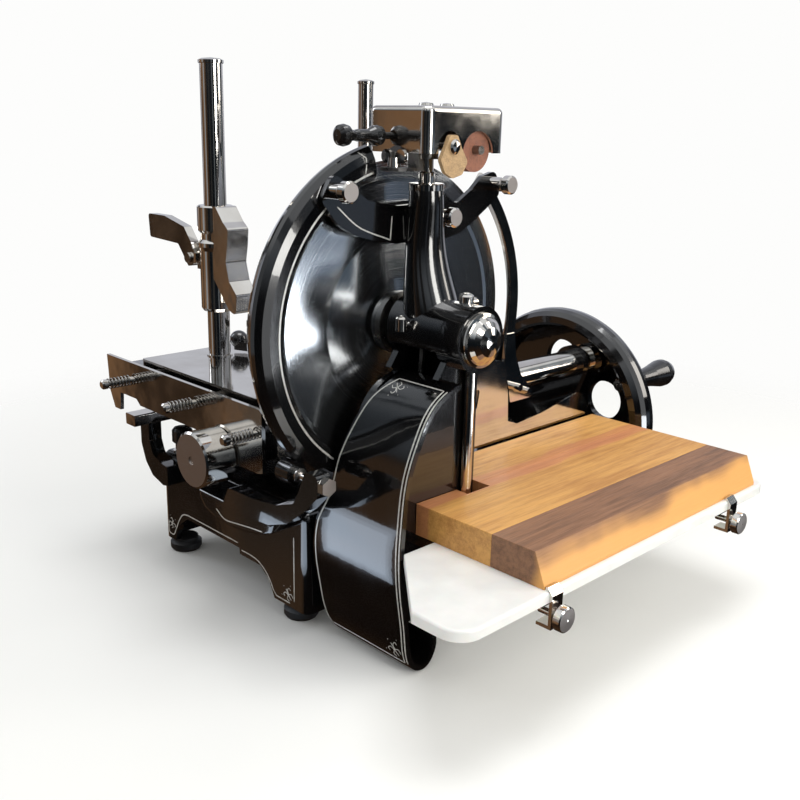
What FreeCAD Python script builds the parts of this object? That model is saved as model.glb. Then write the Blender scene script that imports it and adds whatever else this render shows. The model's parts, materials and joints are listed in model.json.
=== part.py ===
"""Hand crank meat slicer: flywheel, geared round blade, sliding carriage and slice deck.

The machine frame has its origin on the floor under the middle of the machine, +Z up.
+X points from the blade to the slice deck, +Y from the apron to the flywheel.
Places below are written from the centre of the blade and moved to the floor at the end.
"""
import FreeCAD, Part
import math
import os
import Sketcher
from FreeCAD import Placement, Rotation, Vector

SIZES = {
    # Where the blade's centre stands
    "blade_centre_x": 26.15,
    "blade_centre_y": -146.5,
    "blade_centre_z": 305.0,
    # Fits
    "seat_gap": 0.3,
    "run_gap": 0.05,
    # Blade and its shaft
    "blade_radius": 150.0,
    "blade_rim": 3.0,
    "blade_dish": 9.0,
    "blade_hub_radius": 34.0,
    "knife_shaft_radius": 9.0,
    "knife_shaft_end": 112.0,
    # Ring guard round the blade
    "guard_reach": 18.0,
    "guard_overlap": 13.0,
    "guard_front": 14.0,
    "guard_back": 16.0,
    "guard_edge_gap": 2.0,
    "guard_slot": 5.0,
    "guard_top_angle": 104.0,
    "guard_low_angle": 232.0,
    "guard_tail_angle": 262.0,
    "guard_tail_reach": 6.0,
    "guard_screw_angle": 223.625,
    "guard_screw_reach": 26.83,
    "guard_screw_start": -5.0,
    "band_reach": 23.5,
    "yoke_x": 14.3,
    "yoke_thickness": 5.0,
    "band_back": 8.3,
    "band_width": 13.0,
    "band_thickness": 5.7,
    "band_top_angle": 52.0,
    "band_low_angle": -12.0,
    # Hub, lower column and neck
    "hub_radius": 30.0,
    "hub_start": 24.0,
    "hub_end": 113.0,
    "hub_cavity_radius": 24.0,
    "dome_radius": 23.0,
    "dome_height": 14.0,
    "column_left": 24.0,
    "column_right": 92.0,
    "column_back": 22.0,
    "column_wall": 7.0,
    "neck_x": 41.0,
    "neck_top": 125.0,
    "neck_radius": 15.5,
    "neck_root_width": 60.0,
    "collar_height": 6.0,
    "bush_wall": 5.0,
    "bush_length": 16.0,
    # Curved apron
    "apron_right": 111.0,
    "apron_thickness": 4.5,
    # Base
    "base_left": 283.0,
    "base_right": 18.0,
    "base_front": 92.0,
    "base_back": 322.0,
    "base_top": -183.0,
    "base_bottom": -290.0,
    "base_wall": 7.0,
    "arch_height": 35.0,
    "foot_radius": 18.0,
    "foot_inset": 17.0,
    # Rails of the carriage
    "rail_x": -10.0,
    "rail_z": -92.5,
    "rail_radius": 16.3,
    "rail_start": 130.0,
    "rail_end": 348.0,
    "rail_collar_length": 14.0,
    "outer_rail_x": -300.0,
    "outer_rail_width": 20.0,
    "outer_rail_top": -137.0,
    "outer_rail_height": 13.0,
    "outer_rail_start": -125.0,
    "outer_rail_end": 270.0,
    # Flywheel and crank
    "crank_x": -49.0,
    "crank_z": -168.0,
    "wheel_radius": 132.6,
    "wheel_rim_depth": 36.0,
    "wheel_rim_width": 20.0,
    "wheel_front": 331.0,
    "web_front": 354.5,
    "web_thickness": 9.0,
    "wheel_hole_circle": 67.0,
    "wheel_hole_radius": 24.0,
    "wheel_hub_radius": 24.0,
    "crank_shaft_radius": 11.0,
    "handle_circle": 97.0,
    "handle_angle": 31.0,
    "handle_length": 92.0,
    "handle_radius": 17.0,
    "handle_pin_radius": 5.0,
    # Gear train under the carriage
    "lay_drop": 60.0,
    "crank_gear_radius": 39.8,
    "lay_gear_radius": 19.8,
    "gear_width": 12.0,
    "crank_gear_y": 256.0,
    "lay_shaft_radius": 8.0,
    "cross_y": -15.0,
    "cross_shaft_radius": 7.0,
    "bevel_gear_radius": 18.0,
    "bevel_pinion_radius": 12.0,
    "bevel_width": 10.0,
    "sprocket_x": 56.0,
    "sprocket_width": 4.0,
    "sprocket_radius": 14.0,
    "chain_roller": 2.6,
    # Carriage, table and end plate
    "carriage_top": -80.3,
    "carriage_thickness": 14.0,
    "carriage_front": -126.0,
    "carriage_back": 168.0,
    "table_left": -262.0,
    "table_right": -34.0,
    "table_front": -122.0,
    "table_back": 172.0,
    "table_top": -68.0,
    "table_thickness": 12.0,
    "plate_left": -310.0,
    "plate_right": -24.0,
    "plate_front": -138.0,
    "plate_thickness": 4.0,
    "plate_top": -69.5,
    "plate_low": -132.0,
    "plate_waist": -114.0,
    "screw_head_y": -173.0,
    "screw_radius": 3.0,
    "screw_head_radius": 5.2,
    "spring_radius": 5.0,
    "spring_wire": 0.8,
    "spring_turns": 7.0,
    "screw_left_x": -258.0,
    "screw_left_z": -88.3,
    "screw_middle_x": -137.0,
    "screw_middle_z": -87.0,
    "screw_right_x": -36.0,
    "screw_right_z": -94.0,
    "feed_z": -106.0,
    "feed_radius": 6.0,
    "knob_x": -90.0,
    "knob_z": -127.0,
    "knob_radius": 27.5,
    "knob_length": 33.0,
    "knob_front": -172.0,
    # Posts and clamp
    "post_radius": 11.0,
    "post_x": -160.0,
    "post_y": -90.0,
    "post_top": 237.0,
    "rear_post_radius": 8.8,
    "rear_post_x": -207.0,
    "rear_post_y": 150.0,
    "rear_post_top": 229.0,
    "clamp_bottom": -3.0,
    "clamp_top": 101.0,
    "clamp_radius": 16.5,
    "lever_pivot_x": -186.0,
    "lever_pivot_z": 48.0,
    "release_x": -172.0,
    "release_y": -4.0,
    "lever_length": 74.0,
    "lever_thickness": 9.0,
    "stud_x": -258.0,
    "stud_y": -79.0,
    # Slice side: tray, board and deflector
    "deck_left": 31.0,
    "tray_right": 243.0,
    "tray_front": -158.0,
    "tray_back": 327.0,
    "tray_top": -176.0,
    "tray_thickness": 10.0,
    "board_right": 238.0,
    "board_front": -54.0,
    "board_back": 304.0,
    "board_thickness": 30.0,
    "board_bevel": 11.0,
    "deflector_x": 24.0,
    "deflector_thickness": 1.8,
    "rod_x": 97.3,
    "rod_y": 6.0,
    "rod_radius": 5.0,
    "hook_pin_y": 172.0,
    "hook_pin_z": -92.0,
    "arm_width": 16.0,
    "arm_height": 6.0,
    "front_arm_y": -46.0,
    "rear_arm_y": 246.0,
    # Sharpener
    "box_left": -15.5,
    "box_right": 61.0,
    "box_front": -21.0,
    "box_back": 82.0,
    "box_bottom": 157.0,
    "box_top": 197.0,
    "box_wall": 2.0,
    "stone_y": 45.0,
    "stone_z": 160.0,
    "leaf_y": 8.0,
    "leaf_z": 158.0,
    "wing_x": 30.0,
    "wing_y": -30.0,
    "wing_z": 145.0,
    "stone_radius": 19.5,
    "stone_bore": 11.0,
    "stone_thickness": 9.0,
}

doc = FreeCAD.newDocument("meat_slicer")
sheet = doc.addObject("Spreadsheet::Sheet", "Sizes")


def text_of(value):
    return value.text if isinstance(value, Size) else "(%r)" % float(value)


class Size(float):
    """A length that knows its own formula in the sheet."""

    def __new__(cls, value, text):
        made = super().__new__(cls, value)
        made.text = text
        return made

    def join(self, other, sign, value, swap=False):
        parts = (text_of(other), self.text) if swap else (self.text, text_of(other))
        return Size(value, "(%s %s %s)" % (parts[0], sign, parts[1]))

    def __add__(self, other):
        return self.join(other, "+", float(self) + float(other))

    def __radd__(self, other):
        return self.join(other, "+", float(other) + float(self), True)

    def __sub__(self, other):
        return self.join(other, "-", float(self) - float(other))

    def __rsub__(self, other):
        return self.join(other, "-", float(other) - float(self), True)

    def __mul__(self, other):
        return self.join(other, "*", float(self) * float(other))

    def __rmul__(self, other):
        return self.join(other, "*", float(other) * float(self), True)

    def __truediv__(self, other):
        return self.join(other, "/", float(self) / float(other))

    def __neg__(self):
        return self.join(-1.0, "*", -float(self))


class Sizes:
    """Every size of the sheet by its own name."""


d = Sizes()
for row, (alias, number) in enumerate(SIZES.items(), start=1):
    sheet.set("A%d" % row, alias)
    sheet.set("B%d" % row, repr(number))
    sheet.setAlias("B%d" % row, alias)
    setattr(d, alias, Size(number, "Sizes." + alias))
doc.recompute()
# The guard and the band keep their distance from the blade's edge.
d.guard_radius = d.blade_radius + d.guard_reach
d.guard_inner_radius = d.blade_radius - d.guard_overlap
d.guard_tail_radius = d.blade_radius + d.guard_tail_reach
d.band_radius = d.blade_radius + d.band_reach
screw_turn = math.radians(float(d.guard_screw_angle))
d.guard_screw_y = (d.blade_radius + d.guard_screw_reach) * math.cos(screw_turn)
d.guard_screw_z = (d.blade_radius + d.guard_screw_reach) * math.sin(screw_turn)

# A cylinder's own axis turned to run along each machine axis.
ALONG = {
    "x": Rotation(Vector(0, 1, 0), 90),
    "y": Rotation(Vector(1, 0, 0), -90),
    "z": Rotation(),
}
# A drawn outline laid on the plane square to each machine axis.
FACING = {
    "x": Rotation(Vector(0, 1, 0), Vector(0, 0, 1), Vector(1, 0, 0), "ZXY"),
    "y": Rotation(Vector(1, 0, 0), Vector(0, 0, 1), Vector(0, -1, 0), "ZXY"),
    "z": Rotation(),
}
places = {}
nodes = []
count = 0


def new(kind, name):
    global count
    count += 1
    return doc.addObject(kind, "%s_%d" % (name, count))


def bind(item, prop, value):
    """Give a property its value, tied to the sheet where the value comes from it."""
    if isinstance(value, Size):
        item.setExpression(prop, value.text)
    else:
        setattr(item, prop, value)


def place(item, spot, rotation=None):
    item.Placement = Placement(Vector(*[float(v) for v in spot]), rotation or Rotation())
    for axis, value in zip("xyz", spot):
        if isinstance(value, Size):
            item.setExpression("Placement.Base." + axis, value.text)
    places[item.Name] = spot
    return item


def block(name, lows, highs):
    item = new("Part::Box", name)
    for prop, low, high in zip(("Length", "Width", "Height"), lows, highs):
        bind(item, prop, high - low)
    return place(item, lows)


def rod(name, radius, length, spot, along="z"):
    item = new("Part::Cylinder", name)
    bind(item, "Radius", radius)
    bind(item, "Height", length)
    return place(item, spot, ALONG[along])


def cone(name, radius, end_radius, length, spot, along="z"):
    item = new("Part::Cone", name)
    bind(item, "Radius1", radius)
    bind(item, "Radius2", end_radius)
    bind(item, "Height", length)
    return place(item, spot, ALONG[along])


def ball(name, radius, spot):
    item = new("Part::Sphere", name)
    bind(item, "Radius", radius)
    return place(item, spot)


def fuse(name, *pieces):
    item = new("Part::MultiFuse", name)
    item.Shapes = list(pieces)
    item.Refine = True
    return place(item, (0.0, 0.0, 0.0))


def cut(name, base, *tools):
    item = new("Part::Cut", name)
    item.Base = base
    item.Tool = tools[0] if len(tools) == 1 else fuse(name + "_tools", *tools)
    return place(item, (0.0, 0.0, 0.0))


def common(name, base, tool):
    item = new("Part::Common", name)
    item.Base = base
    item.Tool = tool
    return place(item, (0.0, 0.0, 0.0))


def draw(body, role, points):
    """Draw a closed outline on one of the body's own planes, each corner tied to its sizes."""
    sketch = body.newObject("Sketcher::SketchObject", body.Name + "_outline")
    plane = [item for item in body.Origin.OriginFeatures if item.Role == role][0]
    sketch.AttachmentSupport = [(plane, "")]
    sketch.MapMode = "FlatFace"
    corners = len(points)
    for index in range(corners):
        start = points[index]
        end = points[(index + 1) % corners]
        line = Part.LineSegment(Vector(start[0], start[1], 0), Vector(end[0], end[1], 0))
        sketch.addGeometry(line, False)
    for index in range(corners):
        following = (index + 1) % corners
        sketch.addConstraint(Sketcher.Constraint("Coincident", index, 2, following, 1))
    for index, corner in enumerate(points):
        for kind, value in zip(("DistanceX", "DistanceY"), corner):
            rule = Sketcher.Constraint(kind, -1, 1, index, 1, float(value))
            tied = sketch.addConstraint(rule)
            if isinstance(value, Size):
                sketch.setExpression("Constraints[%d]" % tied, value.text)
    return sketch


def plate(name, points, thickness, spot, facing="z", round_by=None, round_at=None):
    """Pad an outline, and round its upright corners where asked."""
    body = new("PartDesign::Body", name)
    sketch = draw(body, "XY_Plane", points)
    pad = body.newObject("PartDesign::Pad", body.Name + "_pad")
    pad.Profile = sketch
    bind(pad, "Length", thickness)
    body.Tip = pad
    doc.recompute()
    if round_by is not None:
        wanted = [points[i] for i in (round_at or range(len(points)))]
        edges = []
        for index, edge in enumerate(pad.Shape.Edges, start=1):
            ends = [vertex.Point for vertex in edge.Vertexes]
            if len(ends) < 2 or abs(ends[0].z - ends[1].z) < float(thickness) / 2:
                continue
            if any(math.hypot(ends[0].x - u, ends[0].y - v) < 0.01 for u, v in wanted):
                edges.append("Edge%d" % index)
        corners = body.newObject("PartDesign::Fillet", body.Name + "_corners")
        corners.Base = (pad, edges)
        bind(corners, "Radius", round_by)
        body.Tip = corners
    sketch.Visibility = False
    return place(body, spot, FACING[facing])


def turned(name, points, spot, along="z"):
    """Turn an outline of radius and height about the body's own axis."""
    body = new("PartDesign::Body", name)
    sketch = draw(body, "XZ_Plane", points)
    turn = body.newObject("PartDesign::Revolution", body.Name + "_turn")
    turn.Profile = sketch
    turn.ReferenceAxis = (sketch, ["V_Axis"])
    turn.Angle = 360.0
    body.Tip = turn
    return place(body, spot, ALONG[along])


def shaped(name, shape):
    """Keep a swept or lofted form that has no feature of its own."""
    item = new("Part::Feature", name)
    item.Shape = shape
    return place(item, (0.0, 0.0, 0.0))


def curve(points):
    line = Part.BSplineCurve()
    line.interpolate([Vector(*[float(v) for v in point]) for point in points])
    return line.toShape()


def straight(start, end):
    return Part.makeLine(Vector(*[float(v) for v in start]), Vector(*[float(v) for v in end]))


def fillet(name, base, radius, wanted):
    """Round the edges for which wanted(edge) holds."""
    doc.recompute()
    item = new("Part::Fillet", name)
    item.Base = base
    picked = [i for i, edge in enumerate(base.Shape.Edges, start=1) if wanted(edge)]
    item.Edges = [(i, float(radius), float(radius)) for i in picked]
    return place(item, (0.0, 0.0, 0.0))


def node(label, item):
    """Name a finished sub-part and move it from the blade's centre to the floor frame."""
    item.Label = label
    shifts = (d.blade_centre_x, d.blade_centre_y, d.blade_centre_z)
    spot = places[item.Name]
    place(item, [own + shift for own, shift in zip(spot, shifts)], item.Placement.Rotation)
    nodes.append(item)
    return item


def polar(radius, degrees):
    """A point on a circle in the blade's plane: +Y at 0 degrees, +Z at 90."""
    turn = math.radians(degrees)
    return radius * math.cos(turn), radius * math.sin(turn)


def wedge(name, start, end, reach, x_low, x_high):
    """A sector of the blade's plane between two angles, as a tool for cutting rings."""
    steps = max(1, int(math.ceil((end - start) / 60.0)))
    points = [(0.0, 0.0)]
    for step in range(steps + 1):
        points.append(polar(reach, start + (end - start) * step / steps))
    return plate(name, points, x_high - x_low, (x_low, 0.0, 0.0), "x")


def base_casting():
    """Open-bottomed box on four legs, arched between them, with the rail and crank bearings on top."""
    left, right, bottom, top = -d.base_left, -d.base_right, d.base_bottom, d.base_top
    front, wall, rise = -d.base_front, d.base_wall, d.arch_height
    step_x = left + 151.0
    outline = [
        (left, bottom), (left + 22.0, bottom), (left + 30.0, bottom + rise * 0.6),
        (left + 50.0, bottom + rise), (step_x, bottom + rise), (step_x + 1.0, bottom + rise * 0.8),
        (step_x + 37.0, bottom + rise * 0.8), (step_x + 52.0, bottom + rise * 0.5),
        (step_x + 61.0, bottom), (right, bottom), (right, top), (left, top),
    ]
    depth = d.base_back - front
    body = plate("base_box", outline, depth, (0.0, d.base_back, 0.0), "y")
    rounded = fillet("base_rounded", body, 9.0, lambda e: is_outer_base_edge(e))
    side_arch = plate("base_side_arch", [
        (front + 50.0, bottom - 1.0), (front + 62.0, bottom + rise * 0.8),
        (front + 80.0, bottom + rise), (d.base_back - 80.0, bottom + rise),
        (d.base_back - 62.0, bottom + rise * 0.8), (d.base_back - 50.0, bottom - 1.0),
    ], right - left + 20.0, (left - 10.0, 0.0, 0.0), "x")
    inside = block("base_inside", (left + wall, front + wall, bottom - 1.0),
                   (right - wall, d.base_back - wall, top - wall))
    gear_slot_half = d.crank_gear_radius + 6.0
    slot = block("base_gear_slot", (d.crank_x - gear_slot_half, d.crank_gear_y - 4.0, top - 20.0),
                 (d.crank_x + gear_slot_half, d.crank_gear_y + d.gear_width + 4.0, top + 1.0))
    shell = cut("base_shell", rounded, side_arch, inside, slot)
    humps = [crank_hump(), rail_stand("base_front_stand", d.rail_start + 3.5),
             rail_stand("base_rear_stand", d.base_back - 14.0)]
    whole = fuse("base_whole", shell, *humps)
    rail_bore = rod("base_rail_bore", d.rail_radius, 400.0, (d.rail_x, 0.0, d.rail_z), "y")
    crank_bore = rod("base_crank_bore", d.crank_shaft_radius + d.run_gap, 200.0,
                     (d.crank_x, 200.0, d.crank_z), "y")
    cross_bore = rod("base_cross_bore", d.cross_shaft_radius + d.run_gap, 60.0,
                     (right - 30.0, d.cross_y, d.crank_z - d.lay_drop), "x")
    casting = cut("base_bored", whole, rail_bore, crank_bore, cross_bore)
    webs = []
    for name, y in (("front", 2.0), ("rear", d.crank_gear_y + d.gear_width + 8.0)):
        webs.append(lay_bearing(name, y))
    node("base_casting", fuse("base_with_webs", casting, *webs))


def is_outer_base_edge(edge):
    """The upright corners and the top rim of the base."""
    box = edge.BoundBox
    upright = box.ZLength > 60.0 and box.XLength < 0.1 and box.YLength < 0.1
    on_top = box.ZLength < 0.1 and abs(box.ZMax - float(d.base_top)) < 0.1
    return upright or on_top


def lay_bearing(name, y):
    """A cross wall under the base top that carries the lay shaft."""
    centre_z = d.crank_z - d.lay_drop
    wall = block("lay_wall_" + name, (d.crank_x - 20.0, y, centre_z - 16.0),
                 (d.crank_x + 20.0, y + 8.0, d.base_top - d.base_wall))
    bore = rod("lay_bore_" + name, d.lay_shaft_radius + d.run_gap, 60.0,
               (d.crank_x, y - 20.0, centre_z), "y")
    return cut("lay_bearing_" + name, wall, bore)


def crank_hump():
    """Half-round hood over the crank gear, with the crank shaft's bearing behind it."""
    hood_radius = d.crank_gear_radius + 10.0
    start = d.crank_gear_y - 10.0
    hood = rod("hood_round", hood_radius, d.base_back - start, (d.crank_x, start, d.crank_z), "y")
    above = block("hood_above", (d.crank_x - 70.0, start - 1.0, d.base_top - 0.5),
                  (d.crank_x + 70.0, d.base_back + 1.0, d.crank_z + 80.0))
    dome = common("hood_dome", hood, above)
    inner = rod("hood_inner", d.crank_gear_radius + 5.0, d.gear_width + 8.0,
                (d.crank_x, d.crank_gear_y - 4.0, d.crank_z), "y")
    return cut("hood", dome, inner)


def rail_stand(name, y):
    """One upright that holds the round rail."""
    thickness = 10.0
    outer = d.rail_radius + 5.0
    upright = plate(name, [
        (d.rail_x - 52.0, d.base_top - 0.5), (-d.base_right - 2.0, d.base_top - 0.5),
        (d.rail_x + outer, d.rail_z - 6.0), (d.rail_x + outer * 0.7, d.rail_z),
        (d.rail_x - outer * 0.7, d.rail_z), (d.rail_x - outer, d.rail_z - 6.0),
    ], thickness, (0.0, y + thickness, 0.0), "y")
    eye = rod(name + "_eye", outer, thickness, (d.rail_x, y, d.rail_z), "y")
    return fuse(name + "_whole", upright, eye)


def rubber_feet():
    """Four cushioned feet under the legs."""
    inset = d.foot_inset
    low = -d.blade_centre_z
    tall = d.base_bottom - low
    spots = [(-d.base_left + inset, -d.base_front + inset), (-d.base_right - inset - 13.0, -d.base_front + inset),
             (-d.base_left + inset, d.base_back - inset), (-d.base_right - inset - 13.0, d.base_back - inset)]
    feet = []
    for index, (x, y) in enumerate(spots):
        feet.append(turned("foot_%d" % index, [
            (0.0, 0.0), (d.foot_radius - 2.0, 0.0), (d.foot_radius, 3.0), (d.foot_radius, tall - 6.0),
            (d.foot_radius - 4.0, tall - 3.0), (d.foot_radius - 4.0, tall), (0.0, tall),
        ], (x, y, low)))
    node("rubber_feet", compound("feet", feet))


def compound(name, pieces):
    """Identical pieces kept as separate solids of one node."""
    item = new("Part::Compound", name)
    item.Links = list(pieces)
    return place(item, (0.0, 0.0, 0.0))


# The apron's outer line from the hub down to the roll at its foot, as (y, z).
def apron_line(inward=0.0):
    thick = float(inward)
    return [(-21.0, -37.0 - thick), (-36.0 + thick * 0.2, -41.5 - thick),
            (-57.0 + thick * 0.7, -56.0 - thick * 0.7), (-71.0 + thick, -79.0 - thick * 0.3),
            (-84.0 + thick, -112.0), (-89.0 + thick, -148.0), (-91.0 + thick, -184.0),
            (-88.0 + thick, -223.0), (-82.0 + thick, -262.0)]


def apron_band():
    """The apron's curved sheet with its foot rolled under, before its sides are trimmed."""
    thick = d.apron_thickness
    outer = apron_line() + [(-79.0, -284.0), (-70.0, -300.0), (-55.0, -303.0), (-44.0, -292.0), (-42.0, -276.0)]
    t = float(thick)
    inner = [(-42.0 - t, -276.0), (-44.0 - t, -290.0), (-55.5, -303.0 + t), (-68.0 + t * 0.4, -300.0 + t),
             (-79.0 + t, -283.0)] + list(reversed(apron_line(thick)))
    left = (-16.0,)
    rim = [curve([left + spot for spot in outer]), straight(left + outer[-1], left + inner[0]),
           curve([left + spot for spot in inner]), straight(left + inner[-1], left + outer[0])]
    face = Part.Face(Part.Wire(rim))
    return shaped("apron_band", face.extrude(Vector(float(d.apron_right) + 16.0, 0, 0)))


def curved_apron():
    """Enamelled curved plate in front of the column."""
    side = plate("apron_side", [
        (44.0, -30.0), (40.0, -47.0), (27.0, -77.0), (20.0, -112.0), (16.0, -135.0), (14.6, -147.0),
        (5.0, -158.0), (-4.0, -180.0), (-10.0, -208.0), (-12.0, -229.0), (-10.5, -254.0), (-4.0, -280.0),
        (6.0, -304.0), (d.apron_right, -304.0), (d.apron_right, -30.0),
    ], 160.0, (0.0, 20.0, 0.0), "y")
    node("curved_apron", common("apron", apron_band(), side))


def apron_room():
    """The space in front of the apron's inner line, as a tool for the column."""
    inner = apron_line(d.apron_thickness)
    first, last = inner[0], inner[-1]
    corners = [(0.0, last[0], last[1]), (0.0, -140.0, last[1]), (0.0, -140.0, first[1] + 40.0),
               (0.0, first[0] - 1.0, first[1] + 3.0), (0.0, first[0], first[1])]
    edges = [curve([(0.0, y, z) for y, z in inner])]
    for start, end in zip(corners, corners[1:]):
        edges.append(straight(start, end))
    return shaped("apron_room", Part.Face(Part.Wire(edges)).extrude(Vector(float(d.apron_right), 0, 0)))


def knife_column():
    """Hollow casting behind the apron: it carries the lower half of the hub."""
    wall = d.column_wall
    front = apron_line(2.0)[1:]
    bottom = -262.0
    outline = [(d.column_back, -12.0), (-14.0, -12.0)] + front + [(d.column_back, bottom)]
    solid_tower = plate("column_tower", outline, d.column_right - d.column_left, (d.column_left, 0.0, 0.0), "x")
    tower = cut("column_fitted", solid_tower, apron_room(), apron_band())
    bridge = block("column_bridge", (-d.base_right, -70.0, bottom), (d.column_left + 1.0, d.column_back, -181.0))
    hub = rod("column_hub", d.hub_radius, d.hub_end - d.hub_start, (d.hub_start, 0.0, 0.0), "x")
    whole = fuse("column_whole", tower, bridge, hub)
    above = block("column_above", (d.hub_start - 1.0, -60.0, 0.0), (d.hub_end + 1.0, 60.0, 60.0))
    chain_room = block("column_room", (d.column_left + wall, -48.0, bottom + wall),
                       (d.column_right - wall, d.column_back - 3.5, -d.hub_cavity_radius * 0.5))
    bridge_room = block("column_bridge_room", (-d.base_right + wall, -48.0, bottom + wall),
                        (d.column_left + wall + 1.0, d.column_back - wall, -192.0))
    cross_bore = rod("column_cross_bore", d.cross_shaft_radius + d.run_gap, 140.0,
                     (-d.base_right - 10.0, d.cross_y, d.crank_z - d.lay_drop), "x")
    tools = [above, chain_room, bridge_room, cross_bore] + hub_bores("column")
    node("knife_column", cut("column", whole, *tools))


def hub_bores(name):
    """The cavity for the sprocket and the seats of the two bushes."""
    cavity = rod(name + "_cavity", d.hub_cavity_radius, d.hub_end - d.hub_start - d.bush_length * 2,
                 (d.hub_start + d.bush_length, 0.0, 0.0), "x")
    seat = rod(name + "_seat", d.knife_shaft_radius + d.run_gap + d.bush_wall, d.hub_end + 2.0,
               (d.hub_start - 1.0, 0.0, 0.0), "x")
    return [cavity, seat]


def neck_column():
    """Upper casting: the hub's upper half drawn up into a slim neck."""
    x, top = float(d.neck_x), float(d.neck_top)
    slim = float(d.neck_radius)
    broad = float(d.neck_root_width) / 2
    sections = [(0.5, x + 11.0, slim + 12.0, broad - 3.0), (26.0, x + 9.0, slim + 9.0, broad - 4.0),
                (52.0, x + 4.0, slim + 4.0, broad * 0.75), (84.0, x + 0.5, slim + 1.0, slim + 3.0),
                (top, x, slim, slim)]
    rings = []
    for z, middle, half_x, half_y in sections:
        rings.append(ellipse_wire(middle, z, half_x, half_y))
    neck = shaped("neck_form", Part.makeLoft(rings, True, False))
    hub = rod("neck_hub", d.hub_radius, d.hub_end - d.hub_start, (d.hub_start, 0.0, 0.0), "x")
    below = block("neck_below", (0.0, -60.0, -60.0), (d.hub_end + 1.0, 60.0, 0.0))
    spindle = rod("neck_spindle_bore", 6.0 + d.run_gap, 30.0, (d.neck_x, 0.0, d.neck_top - 25.0))
    pad = block("neck_yoke_pad", (d.yoke_x + d.yoke_thickness, -14.0, 79.0), (d.neck_x, 14.0, 106.0))
    whole = fuse("neck_whole", neck, hub, pad)
    node("neck_column", cut("neck", whole, below, spindle, *hub_bores("neck")))


def ellipse_wire(x, z, half_x, half_y):
    """A level ellipse, drawn with its longer half first."""
    if abs(half_x - half_y) < 1e-6:
        edge = Part.makeCircle(half_x, Vector(x, 0, z), Vector(0, 0, 1))
        return Part.Wire([edge])
    if half_x > half_y:
        oval = Part.Ellipse(Vector(x + half_x, 0, z), Vector(x, half_y, z), Vector(x, 0, z))
    else:
        oval = Part.Ellipse(Vector(x, half_y, z), Vector(x - half_x, 0, z), Vector(x, 0, z))
    return Part.Wire([oval.toShape()])


def column_collar():
    """Bright collar on top of the neck, with the spindle that carries the sharpener."""
    collar = turned("collar", [
        (0.0, 0.0), (d.neck_radius + 0.8, 0.0), (d.neck_radius + 0.8, d.collar_height - 1.0),
        (d.neck_radius - 0.2, d.collar_height), (7.5, d.collar_height), (7.5, 15.0), (6.0, 16.0),
        (6.0, 30.0), (0.0, 30.0),
    ], (d.neck_x, 0.0, d.neck_top))
    tail = rod("collar_tail", 6.0, 24.5, (d.neck_x, 0.0, d.neck_top - 24.5))
    node("column_collar", fuse("collar_whole", collar, tail))


def hub_dome_cap():
    """Chromed cap with a bead round its rim, over the end of the knife shaft."""
    inner = d.dome_radius - 4.0
    node("hub_dome_cap", turned("dome", [
        (0.0, d.dome_height - 2.0), (0.0, d.dome_height), (d.dome_radius * 0.3, d.dome_height - 0.5),
        (d.dome_radius * 0.58, d.dome_height - 2.6), (d.dome_radius * 0.78, d.dome_height - 5.8),
        (d.dome_radius * 0.9, d.dome_height - 9.2), (d.dome_radius - 1.0, 4.0), (d.dome_radius + 1.5, 3.2),
        (d.dome_radius + 1.8, 1.6), (d.dome_radius + 1.5, 0.0), (inner, 0.0), (inner, 2.0),
        (inner * 0.7, d.dome_height - 6.0),
    ], (d.hub_end, 0.0, 0.0), "x"))


def oil_cups():
    """Two lidded oilers: an upright one on the hub and an elbow one on its side."""
    cups = []
    for index, (x, y, z, radius) in enumerate(((90.0, 5.0, 24.5, 6.6), (50.0, -36.5, 3.0, 5.0))):
        cup = turned("cup_%d" % index, [
            (0.0, 0.0), (radius, 0.0), (radius, 11.0), (radius - 1.2, 12.6), (radius * 0.4, 13.6),
            (0.0, 13.8),
        ], (x, y, z))
        elbow = rod("cup_elbow_%d" % index, radius * 0.6, 12.0, (x, y, z + 4.5), "y")
        hub = rod("cup_hub_%d" % index, d.hub_radius, 60.0, (x - 30.0, 0.0, 0.0), "x")
        cups.append(cut("cup_seated_%d" % index, fuse("cup_whole_%d" % index, cup, elbow), hub))
    node("oil_cups", compound("cups", cups))


def ring_guard():
    """Heavy ring round the blade's edge: a deep C section over most of its arc and a slim tail."""
    outer, inner = d.guard_radius, d.guard_inner_radius
    back, front = -d.guard_back, d.guard_front
    lip = d.blade_radius + d.guard_edge_gap
    slot = d.guard_slot
    section = turned("guard_section", [
        (inner, slot), (lip, slot), (lip, -slot), (inner + 6.0, -slot), (inner + 6.0, back + 5.0),
        (lip, back), (outer - 10.5, back), (outer - 5.5, back + 8.0), (outer - 1.0, back + 16.0),
        (outer, back + 20.0), (outer - 1.0, front - 6.0), (outer - 6.0, front - 2.0), (outer - 13.0, front),
        (inner + 6.0, front - 1.0), (inner, front - 5.0),
    ], (0.0, 0.0, 0.0), "x")
    main = common("guard_main", section,
                  wedge("guard_main_arc", d.guard_top_angle, d.guard_low_angle, 400.0, back - 1.0, front + 1.0))
    tail_ring = turned("guard_tail_section", [
        (inner, slot), (d.guard_tail_radius, slot), (d.guard_tail_radius, front - 4.0), (inner, front - 5.0),
    ], (0.0, 0.0, 0.0), "x")
    tail = common("guard_tail", tail_ring,
                  wedge("guard_tail_arc", d.guard_low_angle - 1.0, d.guard_tail_angle, 400.0, back, front + 1.0))
    lug = rod("guard_lug", 11.0, front + 4.0, (-4.0, d.guard_screw_y, d.guard_screw_z), "x")
    hole = rod("guard_lug_hole", 4.0, 60.0, (-10.0, d.guard_screw_y, d.guard_screw_z), "x")
    clear = rod("guard_lug_clear", d.blade_radius + d.guard_edge_gap, 60.0, (-30.0, 0.0, 0.0), "x")
    safe_lug = cut("guard_lug_cut", lug, clear, hole)
    node("ring_guard", fuse("guard", main, tail, safe_lug))


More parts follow.
